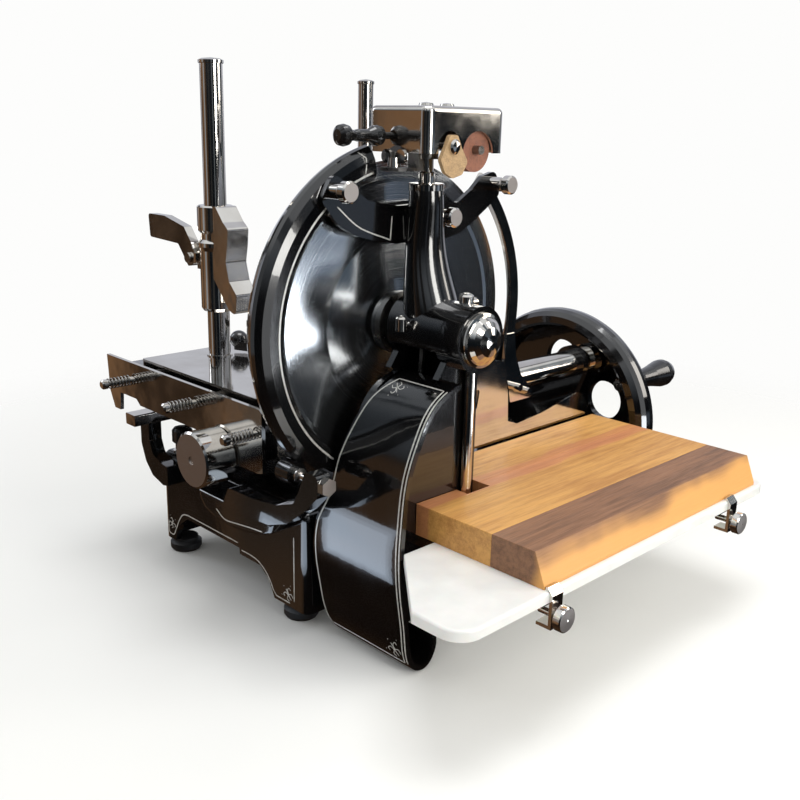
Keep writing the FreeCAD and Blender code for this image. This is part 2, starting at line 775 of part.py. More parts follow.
def guard_band():
    """Open polished band on the flywheel side, ending in the hooked plate of the deflector."""
    outer = d.band_radius
    back = d.band_back
    ring = turned("band_section", [
        (outer - d.band_width, back), (outer - 1.0, back), (outer, back + 1.0),
        (outer, back + d.band_thickness - 1.0), (outer - 1.0, back + d.band_thickness),
        (outer - d.band_width, back + d.band_thickness),
    ], (0.0, 0.0, 0.0), "x")
    arc = common("band_arc", ring,
                 wedge("band_span", d.band_low_angle, d.band_top_angle, 400.0, back - 1.0, back + 20.0))
    low_y, low_z = polar(float(outer), float(d.band_low_angle))
    hook = plate("band_hook", [
        (low_y - d.band_width, low_z + 4.0), (low_y, low_z + 4.0), (low_y + 4.0, low_z - 22.0),
        (low_y + 14.0, low_z - 44.0), (low_y + 26.0, low_z - 56.0), (low_y + 36.0, low_z - 74.0),
        (low_y - 2.0, low_z - 74.0), (low_y - 8.0, low_z - 50.0), (low_y - 15.0, low_z - 24.0),
    ], 4.0, (back + 2.7, 0.0, 0.0), "x", 2.5, [3, 4, 5, 6, 7])
    node("guard_band", fuse("band", arc, hook))


def guard_yoke():
    """V-shaped enamelled arms from the neck to the guard's two upper nuts."""
    left = plate("yoke_left", [
        (-14.0, 76.0), (-38.0, 79.5), (-65.0, 86.0), (-85.0, 97.0), (-104.0, 118.0), (-90.0, 140.0),
        (-72.0, 130.0), (-50.0, 116.0), (-14.0, 110.0),
    ], d.yoke_thickness, (d.yoke_x, 0.0, 0.0), "x", 7.0, [2, 3, 4, 5, 6, 7])
    right = plate("yoke_right", [
        (-15.0, 76.0), (53.0, 77.0), (71.0, 81.0), (88.0, 90.0), (109.0, 103.0), (128.0, 116.0), (120.0, 139.0),
        (100.0, 134.0), (86.0, 122.0), (66.0, 110.0), (42.0, 112.0), (-15.0, 110.0),
    ], d.yoke_thickness, (d.yoke_x, 0.0, 0.0), "x", 7.0, [2, 3, 4, 5, 6, 7, 8, 9, 10])
    node("guard_yoke", fuse("yoke", left, right))


def guard_nuts():
    """Three round thumb nuts on their studs, which clamp the guard to the yoke."""
    start = d.yoke_x + d.yoke_thickness
    spots = [(start, -90.0, 125.5, 9.4, 20.0), (start, 27.0, 100.0, 9.0, 32.0), (start, 112.0, 126.5, 9.0, 26.0)]
    pieces = []
    for index, (x, y, z, radius, reach) in enumerate(spots):
        pieces.append(turned("nut_%d" % index, [
            (0.0, 0.0), (6.8, 0.0), (6.8, reach - 9.0), (5.0, reach - 8.0), (5.0, reach - 6.0), (radius, reach - 5.0),
            (radius, reach + 1.5), (radius - 1.5, reach + 3.0), (0.0, reach + 3.0),
        ], (x, y, z), "x"))
    node("guard_nuts", compound("nuts", pieces))


def guard_foot():
    """Boomerang arm from the front bracket to the guard's lower screw, which its outline moves with."""
    shift_y, shift_z = d.guard_screw_y + 128.0, d.guard_screw_z + 122.0
    arm = plate("foot_arm", [
        (-96.0, -183.0), (-62.0, -183.0), (-20.0, -180.0), (8.0, -170.0), (34.0, -150.0), (52.0, -132.0),
        (52.0, -112.0), (35.0, -112.0), (25.5, -134.0), (17.5, -147.5), (-8.0, -156.5), (-40.0, -161.0), (-84.0, -162.0),
    ], 15.0, (0.0, shift_y - 120.5, shift_z), "y", 5.0, [4, 5, 6, 7, 8, 9, 10, 12])
    hole = rod("foot_screw_hole", 4.0, 60.0, (20.0, d.guard_screw_y, d.guard_screw_z), "x")
    node("guard_foot", cut("foot", arm, hole))


def guard_screw():
    """Long bright screw that holds the guard's lower lug, with its hexagon nut."""
    shank = turned("screw_shank", [
        (0.0, 0.0), (3.9, 0.0), (3.9, 19.3), (7.0, 19.3), (7.0, 24.6), (3.9, 25.4), (3.9, 60.0), (0.0, 60.0),
    ], (d.guard_screw_start, d.guard_screw_y, d.guard_screw_z), "x")
    prism = new("Part::Prism", "screw_nut")
    prism.Polygon = 6
    prism.Circumradius = 8.5
    prism.Height = 7.0
    place(prism, (52.3, d.guard_screw_y, d.guard_screw_z), ALONG["x"])
    node("guard_screw", fuse("screw", shank, prism))


def blade():
    """Dished round blade with a ground bevel at its edge."""
    rim, dish, hub = d.blade_rim, d.blade_dish, d.blade_hub_radius
    half = rim / 2
    disc = turned("blade_disc", [
        (d.knife_shaft_radius + d.run_gap, 2.0), (hub - 4.0, 2.0), (hub, 2.0 - dish * 0.2),
        (d.blade_radius * 0.55, -2.0), (d.blade_radius - 14.0, -half), (d.blade_radius, half - 0.3),
        (d.blade_radius, half), (d.blade_radius - 16.0, half + 0.6), (d.blade_radius - 20.0, half + 0.2),
        (d.blade_radius * 0.55, 2.0), (hub + 8.0, 7.0), (hub - 4.0, 8.0),
        (d.knife_shaft_radius + d.run_gap, 8.0),
    ], (0.0, 0.0, 0.0), "x")
    holes = []
    for index in range(3):
        y, z = polar(22.0, 90.0 + index * 120.0)
        holes.append(rod("blade_hole_%d" % index, 3.2, 20.0, (-4.0, y, z), "x"))
    node("blade", cut("blade_drilled", disc, *holes))


def knife_shaft():
    """Shaft of the blade, with the flange that the blade is screwed to."""
    radius = d.knife_shaft_radius
    shaft = turned("knife_shaft_form", [
        (0.0, -6.0), (radius - 2.0, -6.0), (radius, -4.0), (radius, 8.0), (30.0, 8.0), (30.0, 14.0),
        (radius + 4.0, 16.0), (radius + 4.0, d.hub_start - 1.0), (radius, d.hub_start - 1.0),
        (radius, d.knife_shaft_end), (0.0, d.knife_shaft_end),
    ], (0.0, 0.0, 0.0), "x")
    holes = []
    for index in range(3):
        y, z = polar(22.0, 90.0 + index * 120.0)
        holes.append(rod("flange_hole_%d" % index, 3.0, 20.0, (6.0, y, z), "x"))
    node("knife_shaft", cut("knife_shaft_drilled", shaft, *holes))


def blade_screws():
    """Three screws through the blade into the flange."""
    pieces = []
    for index in range(3):
        y, z = polar(22.0, 90.0 + index * 120.0)
        pieces.append(turned("blade_screw_%d" % index, [
            (0.0, -2.0), (4.5, -2.0), (5.6, 0.0), (5.6, 1.9), (2.95, 1.9), (2.95, 13.0), (0.0, 13.0),
        ], (0.0, y, z), "x"))
    node("blade_screws", compound("screws", pieces))


def bearing_bushes():
    """Bronze bushes of the knife shaft, pressed into the ends of the hub."""
    bushes = []
    for index, x in enumerate((d.hub_start, d.hub_end - d.bush_length)):
        radius = d.knife_shaft_radius + d.run_gap
        bushes.append(turned("bush_%d" % index, [
            (radius, 0.0), (radius + d.bush_wall, 0.0), (radius + d.bush_wall, d.bush_length),
            (radius, d.bush_length),
        ], (x, 0.0, 0.0), "x"))
    node("bearing_bushes", compound("bushes", bushes))


def toothed(name, radius, bore, width, teeth, depth, spot, along, end_scale=1.0):
    """Gear blank whose tooth gaps are cut by a pattern of grooves; end_scale narrows a bevel."""
    blank = turned(name + "_blank", [
        (bore, 0.0), (radius, 0.0), (radius * end_scale, width), (bore, width),
    ], (0.0, 0.0, 0.0), "z")
    gap = math.pi * float(radius) / teeth
    tools = []
    for index in range(teeth):
        turn = 360.0 * index / teeth
        tool = new("Part::Wedge", name + "_gap")
        low = float(radius) - depth
        tool.Xmin, tool.Xmax = -gap * 0.28, gap * 0.28
        tool.X2min, tool.X2max = -gap * 0.5, gap * 0.5
        tool.Ymin, tool.Ymax = 0.0, depth + 1.5
        tool.Zmin, tool.Zmax = -1.0, float(width) + 1.0
        tool.Z2min, tool.Z2max = -1.0, float(width) + 1.0
        lean = math.degrees(math.atan2(float(radius) * (1.0 - end_scale), float(width)))
        spin = Rotation(Vector(0, 0, 1), turn)
        tool.Placement = Placement(spin.multVec(Vector(0, low, 0)), spin * Rotation(Vector(1, 0, 0), lean))
        tools.append(tool)
    whole = cut(name, blank, *tools)
    return place(whole, spot, ALONG[along])


def gear_train():
    """Lay shaft and cross shaft with the wheels cut on them, and the blade's own chain wheel."""
    low_z = d.crank_z - d.lay_drop
    axis = d.crank_x
    lay_end = d.crank_gear_y + d.gear_width + 24.0
    lay_start = d.cross_y + d.bevel_pinion_radius - 4.0
    lay_rod = rod("lay_rod", d.lay_shaft_radius, lay_end - lay_start, (axis, lay_start, low_z), "y")
    spur = toothed("lay_spur", d.lay_gear_radius, d.lay_shaft_radius, d.gear_width, 20, 3.0,
                   (axis, d.crank_gear_y, low_z), "y")
    bevel = toothed("lay_bevel", d.bevel_gear_radius, d.lay_shaft_radius, d.bevel_width, 30, 2.4,
                    (axis, d.cross_y + d.bevel_pinion_radius + d.bevel_width * 0.5, low_z), "y", 0.75)
    bevel.Placement = Placement(bevel.Placement.Base, Rotation(Vector(1, 0, 0), 90))
    node("lay_shaft", fuse("lay_whole", lay_rod, spur, bevel))
    pinion_x = axis + d.bevel_gear_radius + 1.0
    pinion = toothed("cross_pinion", d.bevel_pinion_radius, d.cross_shaft_radius, d.bevel_width, 20, 2.4,
                     (pinion_x + d.bevel_width * 0.5, d.cross_y, low_z), "x", 0.62)
    pinion.Placement = Placement(pinion.Placement.Base, Rotation(Vector(0, 1, 0), -90))
    cross_start = pinion_x - d.bevel_width * 0.5
    cross_end = d.column_right - d.column_wall - 4.0
    cross_rod = rod("cross_rod", d.cross_shaft_radius, cross_end - cross_start, (cross_start, d.cross_y, low_z), "x")
    teeth_depth = 2.0
    wheel = toothed("cross_wheel", d.sprocket_radius, d.cross_shaft_radius, d.sprocket_width, 14, teeth_depth,
                    (d.sprocket_x, d.cross_y, low_z), "x")
    node("cross_shaft", fuse("cross_whole", cross_rod, pinion, wheel))
    node("knife_sprocket", toothed("knife_wheel", d.sprocket_radius, d.knife_shaft_radius, d.sprocket_width,
                                   14, teeth_depth, (d.sprocket_x, 0.0, 0.0), "x"))


def drive_chain():
    """Closed loop round both chain wheels, held as one band of links."""
    reach = d.sprocket_radius + d.seat_gap
    low = (float(d.cross_y), float(d.crank_z - d.lay_drop))
    radius = float(reach)
    thick = float(d.chain_roller)
    width = float(d.sprocket_width)
    lean = math.atan2(-low[0], -low[1])
    side = Vector(0, math.cos(lean), -math.sin(lean))
    up = Vector(0, math.sin(lean), math.cos(lean))
    top = Vector(float(d.sprocket_x), 0, 0)
    bottom = Vector(float(d.sprocket_x), low[0], low[1])
    rims = []
    for rim in (radius + thick, radius):
        right_top, left_top = top + side * rim, top - side * rim
        right_low, left_low = bottom + side * rim, bottom - side * rim
        rims.append(Part.Wire([
            Part.Arc(left_top, top + up * rim, right_top).toShape(),
            Part.makeLine(right_top, right_low),
            Part.Arc(right_low, bottom - up * rim, left_low).toShape(),
            Part.makeLine(left_low, left_top),
        ]))
    loop = Part.Face(rims[0]).cut(Part.Face(rims[1])).extrude(Vector(width, 0, 0))
    node("drive_chain", shaped("chain", loop))


def flywheel():
    """Dished wheel with a half-round rim and a web of round windows."""
    outer, width = d.wheel_radius, d.wheel_rim_width
    inner = outer - width
    depth = d.wheel_rim_depth
    web = d.web_front - d.wheel_front
    back = web + d.web_thickness
    hub = d.wheel_hub_radius
    bore = d.crank_shaft_radius
    form = turned("wheel_form", [
        (bore, web - 10.0), (hub - 3.0, web - 10.0), (hub, web - 7.0), (hub + 1.5, web - 2.0), (hub + 4.0, web),
        (inner - 4.0, web), (inner, web - 4.0), (inner, 2.0), (inner + 3.0, 0.0), (outer - 9.0, 1.0),
        (outer - 3.5, depth * 0.16), (outer - 0.8, depth * 0.32), (outer, depth * 0.5),
        (outer - 0.8, depth * 0.68), (outer - 3.5, depth * 0.84), (outer - 9.0, depth - 1.0),
        (inner + 3.0, depth), (inner, depth - 2.0), (inner - 3.0, back), (hub + 3.0, back),
        (hub, back + 3.0), (hub - 1.0, back + 16.0), (bore, back + 16.0),
    ], (d.crank_x, d.wheel_front, d.crank_z), "y")
    windows = []
    for index in range(5):
        dx, dz = polar(float(d.wheel_hole_circle), 22.8 + 72.0 * index)
        windows.append(rod("wheel_window_%d" % index, d.wheel_hole_radius, 60.0,
                           (d.crank_x + dx, d.web_front - 20.0, d.crank_z + dz), "y"))
    hx, hz = polar(float(d.handle_circle), float(d.handle_angle))
    windows.append(rod("wheel_pin_hole", d.handle_pin_radius, 60.0,
                       (d.crank_x + hx, d.web_front - 20.0, d.crank_z + hz), "y"))
    node("flywheel", cut("wheel", form, *windows))


def crank_shaft():
    """Shaft of the flywheel with its spur wheel, end nut and washer."""
    start = d.crank_gear_y - 8.0
    form = turned("crank_shaft_form", [
        (0.0, 0.0), (d.crank_shaft_radius, 0.0), (d.crank_shaft_radius, 132.0), (16.0, 132.0), (16.0, 135.0),
        (12.0, 135.0), (12.0, 146.0), (9.0, 149.0), (0.0, 149.0),
    ], (d.crank_x, start, d.crank_z), "y")
    spur = toothed("crank_spur", d.crank_gear_radius, d.crank_shaft_radius, d.gear_width, 40, 3.0,
                   (d.crank_x, d.crank_gear_y, d.crank_z), "y")
    node("crank_shaft", fuse("crank_whole", form, spur))


def handle_parts():
    """Turned handle that spins on a headed pin."""
    hx, hz = polar(float(d.handle_circle), float(d.handle_angle))
    x, z = d.crank_x + hx, d.crank_z + hz
    start = d.web_front + d.web_thickness + 6.0
    bore = d.handle_pin_radius + d.run_gap
    length, radius = d.handle_length, d.handle_radius
    node("crank_handle", turned("handle_form", [
        (bore, 0.0), (10.0, 0.0), (11.0, 4.0), (9.5, 9.0), (10.2, length * 0.3), (13.0, length * 0.55),
        (radius, length * 0.78), (radius, length * 0.86), (radius - 2.5, length * 0.94), (radius - 7.0, length),
        (bore, length),
    ], (x, start, z), "y"))
    pin = turned("pin_form", [
        (0.0, -4.0), (7.0, -4.0), (8.0, -2.5), (8.0, -0.3), (d.handle_pin_radius, -0.3),
        (d.handle_pin_radius, start - d.web_front + length + 0.6), (8.5, start - d.web_front + length + 0.6),
        (8.5, start - d.web_front + length + 2.6), (6.0, start - d.web_front + length + 4.0),
        (0.0, start - d.web_front + length + 4.5),
    ], (x, d.web_front, z), "y")
    node("handle_pin", pin)


def guide_rails():
    """Bright round rail beside the blade and square rail outside, each along the carriage's travel."""
    round_bar = rod("rail_round", d.rail_radius, d.rail_end - d.rail_start, (d.rail_x, d.rail_start, d.rail_z), "y")
    start = d.rail_end - d.rail_collar_length
    collar = turned("rail_collar", [
        (0.0, 0.0), (d.rail_radius + 3.5, 0.0), (d.rail_radius + 3.5, d.rail_collar_length),
        (d.rail_radius + 1.5, d.rail_collar_length + 1.5), (0.0, d.rail_collar_length + 1.5),
    ], (d.rail_x, start, d.rail_z), "y")
    node("inner_guide_rail", fuse("rail_whole", round_bar, collar))
    low = d.outer_rail_top - d.outer_rail_height
    rail = plate("outer_rail_form", [
        (d.outer_rail_x, low), (d.outer_rail_x + d.outer_rail_width, low),
        (d.outer_rail_x + d.outer_rail_width, d.outer_rail_top), (d.outer_rail_x, d.outer_rail_top),
    ], d.outer_rail_end - d.outer_rail_start, (0.0, d.outer_rail_end, 0.0), "y", 1.5)
    node("outer_rail", rail)


def rail_arms():
    """J-shaped arms that carry the outer rail from the side of the base."""
    low = d.outer_rail_top - d.outer_rail_height
    left, right = d.outer_rail_x + 1.0, d.outer_rail_x + d.outer_rail_width - 1.0
    face = -d.base_left
    front = plate("front_arm", [
        (left, low), (left, low - 26.0), (left + 8.0, low - 46.0), (left + 22.0, low - 60.0),
        (left + 44.0, low - 66.0), (left + 54.0, low - 64.0), (left + 54.0, low - 42.0), (left + 40.0, low - 40.0),
        (right + 6.0, low - 34.0), (right, low - 20.0), (right, low),
    ], 16.0, (0.0, -d.base_front, 0.0), "y", 6.0, [1, 2, 3, 8, 9])
    rear = plate("rear_arm", [
        (left, low), (left, low - 26.0), (left + 6.0, low - 44.0), (face, low - 64.0), (face, low - 32.0),
        (right, low - 30.0), (right, low),
    ], 18.0, (0.0, d.outer_rail_end - 20.0, 0.0), "y")
    node("rail_arms", compound("arms", [front, rear]))


def corner_stud():
    """Bright stud with a black cap on the base's corner."""
    post = turned("stud_post", [
        (0.0, 0.0), (10.5, 0.0), (10.5, 3.0), (8.0, 4.0), (8.0, 11.0), (0.0, 11.0),
    ], (d.stud_x, d.stud_y, d.base_top))
    node("corner_stud", post)
    node("stud_cap", turned("stud_cap_form", [
        (0.0, 11.0), (9.0, 11.0), (11.5, 13.5), (11.5, 26.0), (9.0, 29.0), (0.0, 29.5),
    ], (d.stud_x, d.stud_y, d.base_top)))


def front_bracket():
    """Swooping casting on the base's face, under the thickness knob."""
    swoop = plate("swoop", [
        (-150.0, -184.0), (-147.0, -194.0), (-139.0, -202.0), (-122.0, -207.0), (-96.0, -208.5),
        (-66.0, -206.0), (-42.0, -201.0), (-27.0, -194.0), (-23.0, -184.0),
    ], 36.0, (0.0, -d.base_front, 0.0), "y", 5.0, [1, 2, 3, 4, 5, 6, 7])
    doc.recompute()
    front_face = -d.base_front - 36.0
    rounded = fillet("swoop_rounded", swoop, 3.0,
                     lambda e: abs(e.BoundBox.YMin - float(front_face)) < 0.05 and e.BoundBox.YLength < 0.05)
    node("front_bracket", rounded)


def carriage():
    """Sliding casting: saddle on the round rail, shoe on the square rail, ribs for the table."""
    top = d.carriage_top
    low = top - d.carriage_thickness
    back = d.carriage_back
    deck = block("carriage_deck", (d.outer_rail_x - 2.0, d.carriage_front, low), (d.table_right - 4.0, back, top))
    window = block("carriage_window", (-262.0, -70.0, low - 1.0), (-146.0, 118.0, top + 1.0))
    window_b = block("carriage_window_b", (-128.0, -70.0, low - 1.0), (-56.0, 118.0, top + 1.0))
    frame = cut("carriage_frame_flat", deck, window, window_b)
    shoe_low = d.outer_rail_top + d.seat_gap
    shoe = block("carriage_shoe", (d.outer_rail_x - 2.0, -90.0, shoe_low),
                 (d.outer_rail_x + d.outer_rail_width + 2.0, 96.0, low + 1.0))
    saddle_length = 24.0
    saddle_start = back - saddle_length
    reach = d.rail_radius + 4.2
    saddle_body = plate("carriage_saddle", [
        (d.table_right - 10.0, low), (d.rail_x - reach, d.rail_z - 8.0), (d.rail_x - reach * 0.6, d.rail_z - reach * 0.9),
        (d.rail_x + reach * 0.4, d.rail_z - reach * 0.9), (d.rail_x + reach, d.rail_z - 4.0),
        (d.rail_x + reach, d.rail_z + 10.0), (d.rail_x + reach * 0.6, d.rail_z + reach),
        (d.rail_x - reach * 0.6, d.rail_z + reach), (d.table_right + 1.5, top), (d.table_right - 10.0, top),
    ], saddle_length, (0.0, back, 0.0), "y")
    rail_room = rod("carriage_rail_bore", d.rail_radius + d.run_gap, saddle_length + 20.0,
                    (d.rail_x, saddle_start - 10.0, d.rail_z), "y")
    knob_lug = block("carriage_knob_lug", (d.knob_x - 17.0, d.carriage_front, d.knob_z - 13.0),
                     (d.knob_x + 17.0, -84.0, low + 1.0))
    knob_bore = rod("carriage_knob_bore", 6.0 + d.run_gap, 90.0, (d.knob_x, -150.0, d.knob_z), "y")
    screw_lugs = []
    for x in (d.outer_rail_x + 22.0, d.table_right - 22.0):
        screw_lugs.append(block("carriage_screw_lug", (x, 12.0, d.feed_z - 10.0), (x + 12.0, 36.0, low + 1.0)))
    front_drop = block("carriage_front_drop", (-240.0, d.carriage_front, d.plate_waist + 3.0),
                       (d.knob_x - 16.0, d.carriage_front + 10.0, low + 1.0))
    plate_back = d.plate_front + d.plate_thickness
    bosses, boss_bores = [], []
    for x, z in screw_spots():
        bosses.append(rod("carriage_boss", 6.0, d.carriage_front - plate_back + 5.0, (x, plate_back, z), "y"))
        boss_bores.append(rod("carriage_boss_bore", d.screw_radius + d.run_gap, 30.0, (x, plate_back - 5.0, z), "y"))
    whole = fuse("carriage_whole", frame, shoe, saddle_body, knob_lug, front_drop, *(screw_lugs + bosses))
    screw_bore = rod("carriage_screw_bore", d.feed_radius + d.run_gap, 400.0, (-320.0, 24.0, d.feed_z), "x")
    node("carriage_frame", cut("carriage", whole, rail_room, knob_bore, screw_bore, *boss_bores))


def feed_screw():
    """Threaded spindle across the carriage that the table's nut runs on."""
    start = d.outer_rail_x + 22.3
    node("feed_screw", turned("feed_screw_form", [
        (0.0, 0.0), (d.feed_radius, 0.0), (d.feed_radius, 12.0), (8.0, 12.0), (8.0, 17.4), (d.feed_radius, 17.4),
        (d.feed_radius, 240.0), (0.0, 240.0),
    ], (start, 24.0, d.feed_z), "x"))


def end_plate():
    """Polished plate across the carriage's front, stepped along its lower edge."""
    outline = [
        (d.plate_left, d.plate_top), (d.plate_right - 3.0, d.plate_top), (d.plate_right, d.plate_top - 3.0),
        (d.plate_right, d.plate_low + 2.0), (d.plate_right - 8.0, d.plate_low), (-100.0, d.plate_low),
        (-112.0, d.plate_waist), (-242.0, d.plate_waist), (-250.0, d.plate_waist + 6.0),
        (-284.0, d.plate_waist + 6.0), (-286.0, -128.0), (-298.0, -128.0), (-307.0, -110.0),
    ]
    form = plate("end_plate_form", outline, d.plate_thickness,
                 (0.0, d.plate_front + d.plate_thickness, 0.0), "y")
    tools = [rod("end_plate_knob_hole", 16.0, 20.0, (d.knob_x, d.plate_front - 5.0, d.knob_z), "y")]
    for x, z in screw_spots():
        tools.append(rod("end_plate_hole", d.screw_radius + d.run_gap, 20.0, (x, d.plate_front - 5.0, z), "y"))
    node("end_plate", cut("end_plate_drilled", form, *tools))


def screw_spots():
    """Centres of the three spring screws in the end plate."""
    return [(d.screw_left_x, d.screw_left_z), (d.screw_middle_x, d.screw_middle_z),
            (d.screw_right_x, d.screw_right_z)]


def plate_screws():
    """Round-headed screws that press the end plate home through springs."""
    reach = d.plate_front + d.plate_thickness - d.screw_head_y + 7.0
    pieces = []
    for index, (x, z) in enumerate(screw_spots()):
        pieces.append(turned("plate_screw_%d" % index, [
            (0.0, 0.0), (3.5, 0.0), (d.screw_head_radius, 1.8), (d.screw_head_radius, 6.0),
            (d.screw_radius, 6.0), (d.screw_radius, reach), (0.0, reach),
        ], (x, d.screw_head_y, z), "y"))
    node("plate_screws", compound("plate_screw_set", pieces))


def spring_path(start, length, radius, turns):
    """A helix along +Y as quarter-turn arcs, with straight ends."""
    steps = int(round(float(turns) * 4))
    rise = float(length) / steps

    def point(quarters):
        turn = math.pi / 2 * quarters
        return Vector(start.x + radius * math.cos(turn), start.y + rise * quarters,
                      start.z + radius * math.sin(turn))

    edges = []
    for step in range(steps):
        edges.append(Part.Arc(point(step), point(step + 0.5), point(step + 1)).toShape())
    return Part.Wire(edges), point


def plate_springs():
    """Open coil springs between the screw heads and the end plate."""
    wire = float(d.spring_wire)
    near = float(d.screw_head_y) + 6.0 + wire + float(d.seat_gap)
    far = float(d.plate_front) - wire - float(d.seat_gap)
    radius = float(d.spring_radius)
    pieces = []
    for x, z in screw_spots():
        path, point = spring_path(Vector(float(x), near, float(z)), far - near, radius, d.spring_turns)
        rise = (far - near) / float(d.spring_turns)
        begin = point(0)
        tangent = path.Edges[0].tangentAt(path.Edges[0].FirstParameter)
        ring = Part.Wire([Part.makeCircle(wire, begin, tangent)])
        coil = path.makePipeShell([ring], True, False)
        pieces.append(shaped("spring_coil", coil))
    print("least gap between the springs' turns: %.2f mm" % (rise - 2 * wire))
    node("plate_springs", compound("springs", pieces))


def thickness_knob():
    """Large bright knob on its spindle, which sets the slice thickness."""
    radius, length = d.knob_radius, d.knob_length
    spindle_end = -88.0 - d.knob_front
    node("thickness_knob", turned("knob_form", [
        (0.0, 1.0), (4.0, 1.0), (4.0, 0.0), (radius - 2.0, 0.0), (radius, 1.6), (radius, length - 1.5),
        (radius - 1.5, length), (11.0, length), (11.0, length + 6.0), (14.0, length + 6.0),
        (14.0, length + 9.5), (6.0, length + 9.5), (6.0, spindle_end), (0.0, spindle_end),
    ], (d.knob_x, d.knob_front, d.knob_z), "y"))


def meat_table():
    """Flat feed table with a wedge notch, a nut for the feed screw and sockets for the posts."""
    low = d.table_top - d.table_thickness
    slab = plate("table_slab", [
        (d.table_left, d.table_front), (d.table_right, d.table_front), (d.table_right, d.table_back),
        (d.table_left, d.table_back),
    ], d.table_thickness, (0.0, 0.0, low), "z", 3.0)
    post_hole = rod("table_post_hole", d.post_radius + 0.5, 40.0, (d.post_x, d.post_y, low - 10.0))
    rear_hole = rod("table_rear_hole", d.rear_post_radius, 40.0, (d.rear_post_x, d.rear_post_y, low - 10.0))
    nut = block("table_nut", (-160.0, 14.0, d.feed_z - 8.0), (-150.0, 34.0, low + 1.0))
    nut_bore = rod("table_nut_bore", d.feed_radius + d.run_gap, 60.0, (-180.0, 24.0, d.feed_z), "x")
    pivot = turned("table_pivot", [
        (0.0, -5.0), (6.0, -5.0), (6.0, 3.0), (4.0, 3.0), (4.0, 13.5), (6.5, 13.5), (6.5, 16.0), (0.0, 16.5),
    ], (d.release_x, d.release_y, d.table_top))
    node("meat_table", cut("table", fuse("table_whole", slab, nut, pivot), post_hole, rear_hole, nut_bore))


def clamp_posts():
    """Two bright posts that stand in the table."""
    low = d.table_top - d.table_thickness
    base = d.table_top - low
    tall = d.post_top - low
    front = turned("post_front", [
        (0.0, 0.0), (d.post_radius + 0.5, 0.0), (d.post_radius + 0.5, base + 17.0), (d.post_radius + 2.0, base + 17.0),
        (d.post_radius + 2.0, base + 19.5), (d.post_radius, base + 19.5), (d.post_radius, tall - 4.5),
        (d.post_radius + 1.2, tall - 4.0), (d.post_radius + 1.2, tall - 1.5), (d.post_radius - 2.0, tall),
        (0.0, tall + 1.0),
    ], (d.post_x, d.post_y, low))
    rear_tall = d.rear_post_top - low
    rear = turned("post_rear", [
        (0.0, 0.0), (d.rear_post_radius, 0.0), (d.rear_post_radius, base + 0.05), (d.rear_post_radius + 4.0, base + 0.05),
        (d.rear_post_radius + 4.0, base + 6.0), (d.rear_post_radius, base + 7.0),
        (d.rear_post_radius, rear_tall - 4.5), (d.rear_post_radius + 1.0, rear_tall - 4.0),
        (d.rear_post_radius + 1.0, rear_tall - 1.5), (d.rear_post_radius - 2.0, rear_tall), (0.0, rear_tall + 1.0),
    ], (d.rear_post_x, d.rear_post_y, low))
    node("clamp_posts", compound("posts", [front, rear]))


def clamp_body():
    """Sliding clamp on the front post with the lug of its lever and the root of the press arm."""
    low, top = d.clamp_bottom, d.clamp_top
    x, y = d.post_x, d.post_y
    radius = d.clamp_radius
    barrel = turned("clamp_barrel", [
        (0.0, low), (radius - 2.0, low), (radius, low + 3.0), (radius, low + 60.0), (radius + 1.5, low + 64.0),
        (radius + 1.5, low + 68.0), (radius - 1.5, low + 71.0), (radius - 1.5, low + 77.0),
        (radius + 1.5, low + 80.0), (radius + 1.5, top - 1.5), (radius, top), (0.0, top),
    ], (x, y, 0.0))
    lug = block("clamp_lug", (x - radius - 10.0, y - 6.0, d.lever_pivot_z - 12.0), (x - 8.0, y + 6.0, d.lever_pivot_z + 12.0))
    grip = plate("clamp_grip", [
        (x + 6.0, low + 40.0), (x + 22.0, low + 22.0), (x + 36.0, low + 6.0), (x + 48.0, low + 2.0),
        (x + 50.0, low + 22.0), (x + 38.0, low + 34.0), (x + 33.0, low + 52.0), (x + 36.0, low + 66.0),
        (x + 38.0, low + 84.0), (x + 30.0, low + 90.0), (x + 18.0, top), (x + 6.0, top),
    ], 24.0, (0.0, y + 12.0, 0.0), "y", 4.0, [2, 3, 4, 5, 6, 7, 8, 9, 10])
    bore = rod("clamp_bore", d.post_radius + d.run_gap, 200.0, (x, y, low - 20.0))
    pin = turned("clamp_pin", [
        (0.0, 0.0), (5.0, 0.0), (5.0, 2.5), (3.0, 2.5), (3.0, d.lever_thickness + 9.0), (0.0, d.lever_thickness + 9.0),
    ], (d.lever_pivot_x, y - 6.6 - d.lever_thickness - 2.8, d.lever_pivot_z), "y")
    node("clamp_body", cut("clamp", fuse("clamp_whole", barrel, lug, grip, pin), bore))


def press_arm():
    """Arm and toothed plate that hold the meat down on the table."""
    y = d.post_y
    low = d.clamp_bottom
    start_x = d.post_x + 43.0
    profile = Part.Wire([Part.makeCircle(8.0, Vector(float(start_x), float(y) + 12.0, float(low) + 12.0), Vector(0, 1, 0))])
    path = Part.Wire([
        Part.makeLine(Vector(float(start_x), float(y) + 12.0, float(low) + 12.0),
                      Vector(float(start_x), float(y) + 40.0, float(low) + 12.0)),
        Part.Arc(Vector(float(start_x), float(y) + 40.0, float(low) + 12.0),
                 Vector(float(start_x), float(y) + 61.2, float(low) + 3.2),
                 Vector(float(start_x), float(y) + 70.0, float(low) - 18.0)).toShape(),
    ])
    arm = shaped("press_arm_form", path.makePipeShell([profile], True, False))
    foot_z = low - 24.0
    foot = block("press_foot", (start_x - 52.0, y + 40.0, foot_z), (start_x + 48.0, y + 100.0, foot_z + 6.5))
    spikes = []
    for row in range(4):
        for column in range(3):
            spikes.append(cone("press_spike", 0.6, 3.0, 12.0,
                               (start_x - 44.0 + row * 28.0, y + 47.0 + column * 23.0, foot_z - 12.0)))
    node("press_arm", fuse("press", arm, foot, *spikes))


